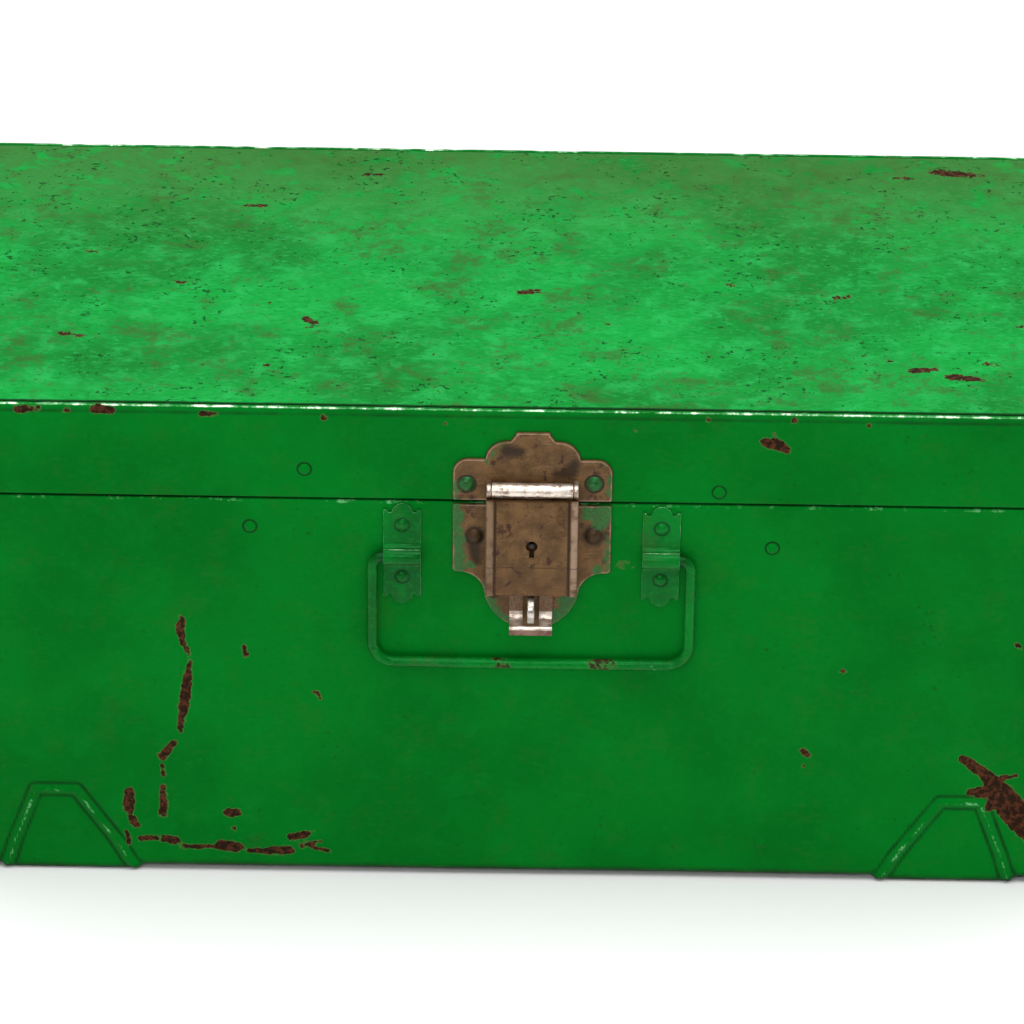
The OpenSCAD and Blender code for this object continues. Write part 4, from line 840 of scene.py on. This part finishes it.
def lid_sheet():
    """Skirt of the lid: a section of outer wall, rolled rim, crevice, flange and inner wall, carried round
    the rectangle. The rim moves in and out by the knocks along its edge."""
    flange_z = TOP - 2.1
    wall_z = steps(LID_LOW + 0.35, 1.6, TOP - RIM - 0.4)
    section = [(0.0, z, 0) for z in wall_z]
    section += [(RIM + p[0], p[1], 1) for p in arc((0, TOP - RIM), RIM, 180, -25, 11)]
    section += [(2 * RIM - 0.05, TOP - 1.6, 1), (2 * RIM + 0.1, flange_z, 0)]
    section += [(u, flange_z, 0) for u in (3.0, 6.0, FLANGE - 0.3)]
    section += [(FLANGE, flange_z - 0.45, 0), (FLANGE - 0.3, flange_z - SHEET, 0)]
    section += [(u, flange_z - SHEET, 0) for u in (6.0, SHEET + 1.2)]
    section += [(SHEET, z, 0) for z in steps(flange_z - SHEET - 1.2, 5, LID_LOW + 0.35)]
    section += [(0.75, LID_LOW + 0.05, 0), (0.15, LID_LOW + 0.05, 0)]
    inset, z, is_rim = (c[:, None] for c in np.array(section).T)
    columns = ring_columns(1.3)
    x, y = ring_points(columns, inset, 2.2)
    gz = np.broadcast_to(z, x.shape).copy()
    knocks = edge_dents(x, y)
    calm = smooth((TOP - 4 - gz) / 12) * smooth((gz - LID_LOW) / 12)
    out = np.clip(waves(x + y, gz, 31, 110, 0.22), -0.2, 0.0) * calm
    normal_x = np.where(np.abs(columns[:, 2]) > 0.5, columns[:, 2], 0)[None, :]
    normal_y = np.where(np.abs(columns[:, 3]) > 0.5, columns[:, 3], 0)[None, :]
    push = out + is_rim * np.minimum(knocks * 0.5, 0)
    x, y = x + normal_x * push, y + normal_y * push
    gz += is_rim * np.minimum(knocks, 0)
    points = np.stack([x, y, gz], 2).reshape(-1, 3)
    outer = (inset < 0.3) | (is_rim > 0)
    chips = chip_field(x, gz, LID_FRONT_CHIPS) * (y < FRONT + 3) * outer
    chips = np.maximum(chips, chip_field(-x, gz, LID_FRONT_CHIPS) * (y > -FRONT - 3) * outer)
    # wear and painted highlight: pale to bare along the top of the rolled rim; rubbed along the lower edge
    rim_top = np.exp(-((gz - TOP + 0.40) / 0.50) ** 2) * is_rim * (inset < RIM + 0.6)
    low_edge = np.exp(-((gz - LID_LOW) / 0.7) ** 2) * 0.45 * (inset < 0.4)
    # painted shade: the whole inside of the skirt, and a band just under the rolled rim on the outside
    deep = ((inset > 1.6) & (gz < TOP - 0.9)) * 1.0
    under_rim = np.exp(-((gz - TOP + 2.6) / 1.3) ** 2) * 0.55 * (inset < 0.3)
    rub_and_highlight = np.maximum(rim_top * 0.86, low_edge)
    fields = {"chip": chips, "rub_and_highlight": rub_and_highlight, "grime_and_shade": np.maximum(deep, under_rim)}
    faces = quads(len(section), len(columns), close_rows=True, close_columns=True)
    return put_mesh("lid_sheet", points, faces, fields)


def lid_panel():
    """Top panel: rings of a rounded rectangle from the turned-down edge inwards to the middle line, raised
    and lowered by long waves, with the worn corner where it meets the crevice."""
    start = 2 * RIM + CREVICE
    turned_down = TOP - 2.05
    edge_insets = [start, start, start + 0.12, start + 0.4, start + 0.9]
    edge_drops = [2.05, 0.55, 0.2, 0.04, 0.0]
    inner = steps(start + 1.9, 1.9, HALF_D - 0.02)
    inset = np.concatenate([edge_insets, inner])[:, None]
    drop = np.concatenate([edge_drops, np.zeros(len(inner))])[:, None]
    columns = ring_columns(1.5)
    x, y = ring_points(columns, inset, start + 2.5)
    calm = smooth((inset - start) / 22)
    crown = 0.55 * calm * (waves(x, y, 41, 150, 0.9) - 0.55)
    small = waves(x, y, 42, 30, 0.22) * calm
    edge = np.exp(-((inset - start) / 2.2)) * np.minimum(edge_dents(x, y) * 0.7, 0)
    top = np.minimum(TOP - drop + crown + small + edge, TOP)
    top[0] = turned_down
    bottom = np.maximum(top - SHEET, turned_down)
    bottom[:len(edge_insets)] = turned_down
    first_under = len(edge_insets) - 1
    n, m = len(columns), len(inset)
    upper = np.stack([x, y, top], 2).reshape(-1, 3)
    lower = np.stack([x[first_under:], y[first_under:], bottom[first_under:]], 2).reshape(-1, 3)
    faces = quads(m, n, close_columns=True) + quads(m - first_under, n, close_columns=True, first=m * n)
    faces += [[i, (i + 1) % n, m * n + (i + 1) % n, m * n + i] for i in range(n)]
    points = np.vstack([upper, lower])
    chips = chip_field(points[:, 0], points[:, 1], LID_TOP_CHIPS) * (np.arange(len(points)) < m * n)
    turned = np.exp(-((inset - start - 1.5) / 0.9) ** 2) * np.ones_like(x)
    # grime and painted shade in the crevice along the panel's edge; painted shade over the panel's underside
    dirt_and_shade = np.exp(-((inset - start) / 0.75) ** 2) * np.ones_like(x)
    pad = np.zeros(len(lower))
    fields = {"chip": chips, "rub_and_highlight": np.concatenate([(turned * 0.48).ravel(), pad]),
              "grime_and_shade": np.concatenate([dirt_and_shade.ravel(), pad + 0.4])}
    return put_mesh("lid_panel", points, faces, fields)


# ---------- lock ----------

PLATE_HALF = 28.9    # half width of both lock plates
PLATE_GAP = 0.8      # each plate ends this far from the seam
# paint left on the plates: (right, up, half width) along each, from the lock's middle line and the seam
LOWER_PAINT = [
    [(25.5, -3.5, 4.2), (25.0, -8, 3.4)], [(20.5, -4, 3.0)], [(27.6, -14, 1.2), (27.6, -26, 1.6)],
    [(-27.5, -3, 2.6), (-27.2, -12, 2.4), (-26.4, -26, 3.0)], [(-22, -26.0, 1.8)], [(24, -26.8, 1.8)],
    [(-16.6, -34, 1.2), (-14.5, -43, 2.4), (-7, -50.0, 1.2)],
    [(16.6, -34, 1.4), (13.6, -43, 3.6), (9, -46.5, 2.8)], [(12, -40.5, 2.8), (15, -36, 1.6)],
]
UPPER_PAINT = [
    [(-27.8, 1.5, 1.6), (-28, 9, 1.0)], [(27.6, 3, 0.9), (27.8, 11, 1.2)], [(-3, 29, 0.8), (4, 29, 0.7)],
    [(-16.5, 16.8, 0.9), (-11, 23.5, 0.8)], [(26, 15.5, 0.9)],
]


def mirrored(half):
    """Closed outline from its right half, listed from the top down: the left half is its mirror image."""
    half = np.asarray(half, float)
    left = half[::-1] * (-1, 1)
    return np.vstack([half, left[np.abs(left[:, 0]) > 1e-6]])


def upper_outline():
    """Stepped shoulders, a full crown and a small tab on sloping sides."""
    shoulder_z, shoulder_r = 17.6, 5.5
    crown_x, crown_z, crown_r = 17.4, 24.8, 8.0
    step_angle = math.degrees(math.asin((shoulder_z - crown_z + crown_r) / crown_r))
    half = [(5.9, 28.4), (6.3, 28.0), (6.4, 27.3), (8.1, 25.0), (8.7, crown_z)]
    half += list(arc((crown_x - crown_r, crown_z - crown_r), crown_r, 88, step_angle, 12))
    half += list(arc((PLATE_HALF - shoulder_r, shoulder_z - shoulder_r), shoulder_r, 90, 0, 9))
    half += [(PLATE_HALF, PLATE_GAP + 0.4), (PLATE_HALF - 0.4, PLATE_GAP)]
    return mirrored(half)


def lower_outline():
    """Square shoulders, hollow sides and a round end; each hollow meets the round end at a tangent."""
    end, hollow, neck, corner = 17.5, 9.0, 17.3, 1.6
    end_z = end - 51.9
    hollow_z = end_z - math.sqrt((end + hollow) ** 2 - (neck + hollow) ** 2)
    lean = math.degrees(math.atan2(end_z - hollow_z, neck + hollow))
    low = hollow_z + hollow
    half = [(PLATE_HALF - 0.4, -PLATE_GAP), (PLATE_HALF, -PLATE_GAP - 0.4)]
    half += list(arc((PLATE_HALF - corner, low + corner), corner, 0, -90, 5))
    half += list(arc((neck + hollow, hollow_z), hollow, 90, 180 - lean, 14))
    half += list(arc((0, end_z), end, -lean, -90, 24))[1:]
    return mirrored(half)


def lock_plate(name, outline, paint_spots, stains):
    """Pressed plate of the lock: slightly wavy face, rounded edge, paint left along its margin."""
    def face(u, v):
        return PLATE_T - 0.07 + waves(u, v, 61, 13, 0.07)
    points, faces, edge = sheet_plate(spread(outline, 0.9), 0.55, 1.1, face)
    u, v = points[:, 0], points[:, 1]
    paint = chip_field(u, v, paint_spots) * (points[:, 2] > 0.05)
    line = np.exp(-((edge - 0.45) / 0.3) ** 2) * (points[:, 2] > 0.6)
    # grime and painted shade along the plate's foot where it meets the sheet, with real stains; the back is
    # darkened as painted shade
    rim = np.exp(-(points[:, 2] / 0.35) ** 2)
    dirt_and_shade = np.maximum(rim * 0.9, chip_field(u, v, stains))
    fields = {"paint": paint, "rub_and_highlight": line * 0.85, "grime_and_shade": np.where(points[:, 2] > 0.05, dirt_and_shade, 0.9)}
    return tidy_mesh(put_mesh(name, on_front(points, LOCK_X, SEAM), faces, fields))


def bars(name, section, spans, soft):
    """Straight bars along x with rounded ends: the section in (y, z) is carried along each span, and drawn in
    towards its middle over the last soft millimetres at both ends, along a quarter circle."""
    loop = spread(section, 0.5)
    n = len(loop)
    points, faces, rub_and_highlight = [], [], []
    for x0, x1 in spans:
        start = sum(len(p) for p in points)
        quarter = [(math.cos(a), math.sin(a)) for a in np.radians((0, 30, 60, 90))]
        first = [(x0 + soft * (1 - c), soft * (1 - s)) for c, s in quarter]
        middle = [(x, 0.0) for x in steps(x0 + soft, 1.2, x1 - soft)[1:-1]]
        last = [(x0 + x1 - x, inset) for x, inset in first[::-1]]
        rows = first + middle + last
        for x, inset in rows:
            points.append(np.column_stack([np.full(n, x), inset_loop(loop, inset)]))
            rub_and_highlight.append(np.full(n, 0.8 if 0 < inset < soft else 0.0))
        faces += quads(len(rows), n, close_columns=True, first=start)
        end = start + (len(rows) - 1) * n
        faces += [list(range(start, start + n)), list(range(end, end + n))]
    return tidy_mesh(put_mesh(name, np.vstack(points), faces, {"rub_and_highlight": np.concatenate(rub_and_highlight)}))


def hasp_ears(pin_y, pin_z):
    """The two ears that hold the hasp's pin: round outwards, flat against the upper plate."""
    ear_r, ear_half, back = 2.8, 0.9, FRONT - 0.8
    section = [(back, pin_z + ear_r)]
    section += [(pin_y + ear_r * math.cos(a), pin_z + ear_r * math.sin(a))
                for a in np.linspace(math.pi / 2, 1.5 * math.pi, 15)]
    section += [(back, pin_z - ear_r)]
    out = (COVER_HIGH[0] - COVER_LOW[0]) / 2 - ear_half
    middles = [LOCK_X - out, LOCK_X + out]
    return bars("hasp_ears", section, [(x - ear_half, x + ear_half) for x in middles], 0.4)


# ---------- handle ----------

def bail_path():
    """Middle line of the handle's wire, and its radius: from one pivot round the bend, down the leg, along
    the grip and up the other side, bowed a little where it hangs free."""
    low, high = span("handle_bail")
    r = (high[1] - low[1]) / 2
    y = (low[1] + high[1]) / 2
    mid = (low[0] + high[0]) / 2
    leg = (high[0] - low[0]) / 2 - r
    pivot = high[2] - r
    grip = low[2] + r
    bracket_low = span("handle_bracket_right")[0][0] - mid
    turn, bend = 4.1, 8.0
    half = [(x, pivot) for x in steps(bracket_low + 0.6, 2, leg - turn)]
    half += list(arc((leg - turn, pivot - turn), turn, 90, 0, 9))[1:]
    half += [(leg, z) for z in steps(pivot - turn, 2, grip + bend)][1:]
    half += list(arc((leg - bend, grip + bend), bend, 0, -90, 11))[1:]
    half += [(x, grip) for x in steps(leg - bend, 2, 0)][1:]
    half = np.array(half)
    line = np.vstack([half, half[-2::-1] * (-1, 1)])
    free = smooth((pivot - turn - line[:, 1]) / 12)
    sag = waves(line[:, 0], line[:, 1], 71, 60, 0.3) * free
    sag -= 0.35 * free * np.exp(-((line[:, 0] + 6) / 22) ** 2) * (line[:, 1] < grip + 1)
    x, z = line[:, 0] + mid + 0.4 * sag, line[:, 1] + np.maximum(sag, 0)
    return np.column_stack([x, np.full(len(line), y), z]), r


def handle_wire():
    """The wire as a tube whose radius wavers a little along it, with the paint worn off by hands."""
    path, r = bail_path()
    x, z = path[:, 0] - LOCK_X, path[:, 2]
    grip = z < z.min() + 2
    radius = r * (0.985 + 0.012 * np.sin(np.arange(len(path)) * 1.7))
    sides = 24
    points, faces = sweep(path, radius, sides)
    worn = np.maximum(np.exp(-((x + 11) / 8) ** 2) * 0.50, np.exp(-((x - 26) / 10) ** 2) * 0.53) * grip
    worn = np.maximum(worn, np.exp(-((z - z.max() + 20) / 9) ** 2) * 0.36 * ~grip)
    # painted shade: darker round the top of the wire, where it runs through the brackets' loops
    dirt_and_shade = np.exp(-((z - z.max()) / 2.5) ** 2) * 0.6
    fields = {"chip": np.repeat(worn, sides), "grime_and_shade": np.repeat(dirt_and_shade, sides),
              "rub_and_highlight": np.repeat(grip * 0.35, sides)}
    return tidy_mesh(put_mesh("handle_wire", points, faces, fields))


# ---------- finishes on the pieces ----------

# shades of the paint: (deep, main, light)
FRONT_GREEN = ((0.0, 0.124, 0.008), (0.0, 0.155, 0.011), (0.001, 0.205, 0.022))
INSIDE_GREEN = ((0.001, 0.060, 0.010), (0.002, 0.125, 0.020), (0.006, 0.19, 0.04))
TRAY_GREEN = ((0.002, 0.070, 0.016), (0.004, 0.150, 0.034), (0.012, 0.22, 0.06))
RIVET_GREEN = ((0.010, 0.050, 0.010), (0.024, 0.085, 0.018), (0.09, 0.17, 0.07))
HANDLE_GREEN = ((0.002, 0.070, 0.006), *FRONT_GREEN[1:])
# painted light: the lid top's greens are the front's paint made brighter for the light falling on the top
LID_GREEN_LIT = ((0.0010, 0.170, 0.016), (0.0010, 0.285, 0.036), (0.022, 0.400, 0.085))
# rivets: (x, z)
LOCK_RIVETS = [(LOCK_X - 23.8, SEAM + 7.5), (LOCK_X + 22.3, SEAM + 8.2),
               (LOCK_X - 20.8, SEAM - 13.9), (LOCK_X + 22.3, SEAM - 12.9)]
BRACKET_LOW, BRACKET_HIGH = span("handle_bracket_rivets")
BRACKET_RIVETS = [(x, z) for x in (BRACKET_LOW[0] + 2.5, BRACKET_HIGH[0] - 2.5)
                  for z in (BRACKET_LOW[2] + 2.5, BRACKET_HIGH[2] - 2.5)]
# flush rivets of the lip on the lid's front, and of the tray's rests on the case: (x, z)
FLUSH_RIVETS = [(-75, SEAM + 12), (75, SEAM + 5), (-95, SEAM - 11.6), (95, SEAM - 17.6)]

paint_front = green_paint("paint_on_front", FRONT_GREEN, 0.10, [(x, z, 2.5) for x, z in FLUSH_RIVETS])
paint_lid_top = green_paint("paint_on_lid_top", LID_GREEN_LIT, 1.0, gloss=0.12, faded_back=True)
paint_handle = green_paint("paint_on_handle", HANDLE_GREEN, 0.55, [(x, z, 2.7) for x, z in BRACKET_RIVETS],
                           0.32, (0.14, 0.30))
paint_rivets = green_paint("paint_on_rivets", RIVET_GREEN, 0.6, (), 0.6, (0.22, 0.4))
paint_inside = green_paint("paint_inside", INSIDE_GREEN, 0.3)
paint_tray = green_paint("paint_on_tray", TRAY_GREEN, 0.3)
bronze = bronzed_steel("bronzed_steel", 1.0, [(x, z, 3.3) for x, z in LOCK_RIVETS])
bronze_cover = bronzed_steel("bronzed_cover", 1.0, (), True)
worn_bright = bare_steel("steel_worn_bright", (0.30, 0.21, 0.15), (0.70, 0.60, 0.52), 0.3, 0.8)
staple_steel = bare_steel("steel_of_staple", (0.30, 0.25, 0.21), (0.80, 0.76, 0.70), 0.25, 0.5)
dull = bare_steel("steel_dull", (0.17, 0.16, 0.15), (0.42, 0.40, 0.38), 0.42, 0.5)
# painted shade: the lock's inner parts are made near black for the shade inside the cover
steel_shaded_dark = bare_steel("steel_in_lock_dark_as_shade", (0.012, 0.010, 0.010), (0.045, 0.040, 0.038), 0.45, 0.5)
rivet_rust = bronzed_steel("rusty_rivets", 0.45)
wood = turned_wood("varnished_beech")

SIDES = ("left", "right")
FINISH_OF = [
    (paint_front, ["lid_lip_rivets", "tray_rest_rivets", "hinge_case_rivets", "hinge_lid_rivets"]
     + [name + side for name in ("case_end_", "hinge_case_leaf_", "hinge_lid_leaf_") for side in SIDES]),
    (paint_rivets, ["lock_upper_rivets"]),
    (rivet_rust, ["lock_lower_rivets"]),
    (paint_handle, ["handle_bracket_rivets"]),
    (paint_inside, ["lid_lip"]
     + [name + side for name in ("tray_rest_front_", "tray_rest_back_") for side in SIDES]),
    (worn_bright, ["hasp_pin"]),
    # painted shade: near-black steel inside the lock
    (steel_shaded_dark, ["lock_striker", "key_post", "bolt_stump", "bolt_spring", "lock_bolt"]),
    (paint_tray, ["tray_pan", "tray_long_divider", "tray_divider_left", "tray_divider_middle",
                  "tray_divider_right", "tray_handle_loops"]),
    (dull, ["hinge_pin_left", "hinge_pin_right", "tray_handle_rivets", "tray_bail"]),
    (wood, ["tray_grip"]),
]
for material, nodes in FINISH_OF:
    for node in nodes:
        frame["nodes"][node].data.materials.clear()
        frame["nodes"][node].data.materials.append(material)

finish_piece(tidy_mesh(case_sheet()), "case", paint_front, ["case_wrap"])
finish_piece(tidy_mesh(lid_sheet()), "lid", paint_front, ["lid_skirt"])
finish_piece(tidy_mesh(lid_panel()), "lid", paint_lid_top, ["lid_top"])

upper = lock_plate("lock_plate_on_lid", upper_outline(), UPPER_PAINT,
                   [[(-9, 21.0, 2.6), (-4.5, 20.6, 2.0)], [(8, 11.6, 1.0), (13.5, 13, 3.0), (15, 16, 2.0)]])
finish_piece(upper, "lid", bronze, ["lock_upper_plate"])
pin_low, pin_high = span("hasp_pin")
pin_y, pin_z = (pin_low[1] + pin_high[1]) / 2, (pin_low[2] + pin_high[2]) / 2
finish_piece(hasp_ears(pin_y, pin_z), "lid", worn_bright, ())
lower = lock_plate("lock_plate_on_case", lower_outline(), LOWER_PAINT,
                   [[(-21, -18, 2.4), (-20, -24, 2.0)], [(22.3, -13, 4.2)], [(-20.8, -12.5, 3.2)]])
finish_piece(lower, "case", bronze, ["lock_lower_plate"])

finish_piece(softened("hasp_cover", 0.32), "hasp", bronze_cover, ["hasp_cover"])
hasp_finish = hasp_steel("hasp_steel", pin_z)
finish_piece(softened("hasp_plate", 0.25), "hasp", hasp_finish, ["hasp_plate"])
finish_piece(softened("padlock_staple", 0.45, 3), "case", staple_steel, ["padlock_staple"])
for side in SIDES:
    node = "handle_bracket_" + side
    finish_piece(softened(node, 0.3), "case", paint_handle, [node])
finish_piece(handle_wire(), "handle", paint_handle, ["handle_bail"])


# ---------- camera, light and floor ----------

def place_camera():
    """Camera in front and above, looking down at the lock: position in metres, angles in degrees."""
    pitch, yaw, roll = (math.radians(a) for a in (27.635, -0.3045, 0.713))
    forward = Vector((math.sin(yaw) * math.cos(pitch), math.cos(yaw) * math.cos(pitch), -math.sin(pitch)))
    right = Vector((math.cos(yaw), -math.sin(yaw), 0))
    up = right.cross(forward)
    turned_right = right * math.cos(roll) + up * math.sin(roll)
    turned_up = up * math.cos(roll) - right * math.sin(roll)
    data = bpy.data.cameras.new("camera")
    data.lens = 175.78
    data.sensor_width = 36
    data.clip_end = 50
    camera = bpy.data.objects.new("camera", data)
    bpy.context.scene.collection.objects.link(camera)
    turn = Matrix((turned_right, turned_up, -forward)).transposed()
    camera.matrix_world = Matrix.Translation((0.0087, -1.7226, 0.9954)) @ turn.to_4x4()
    bpy.context.scene.camera = camera


def area_light(name, at, target, size, power, shade=(1, 1, 1)):
    """Soft square light at a place, turned to a target."""
    data = bpy.data.lights.new(name, "AREA")
    data.shape = "RECTANGLE"
    data.size, data.size_y = size
    data.energy = power
    data.color = shade
    light = bpy.data.objects.new(name, data)
    bpy.context.scene.collection.objects.link(light)
    light.location = at
    light.rotation_euler = (Vector(target) - Vector(at)).to_track_quat("-Z", "Y").to_euler()


def floor_sheet():
    """Wide pale floor with a faint unevenness of tone."""
    mesh = bpy.data.meshes.new("floor")
    mesh.from_pydata([(-6, -6, 0), (6, -6, 0), (6, 6, 0), (-6, 6, 0)], [], [(0, 1, 2, 3)])
    floor = bpy.data.objects.new("floor", mesh)
    bpy.context.scene.collection.objects.link(floor)
    f = Finish("pale_floor")
    tone = f.mix(f.noise(300, 2), (0.90, 0.90, 0.90), (0.93, 0.93, 0.93))
    mesh.materials.append(f.done(tone, 0.8, f.bump(f.noise(2, 2), 0.02), 0.0, 0.1))


place_camera()
floor_sheet()
world = bpy.data.worlds.new("studio")
world.use_nodes = True
world.node_tree.nodes["Background"].inputs["Color"].default_value = (1, 1, 1, 1)
world.node_tree.nodes["Background"].inputs["Strength"].default_value = 0.34
bpy.context.scene.world = world
bpy.context.scene.view_settings.view_transform = "Standard"
area_light("light_above", (0.0, 0.1, 2.2), (0, 0.1, 0), (3.2, 2.4), 62)
area_light("light_front", (-0.4, -2.2, 1.5), (0, 0, 0.1), (1.8, 0.9), 16)
area_light("light_strip", (0.2, -0.9, 1.5), (0, 0, 0.1), (1.2, 0.18), 5)
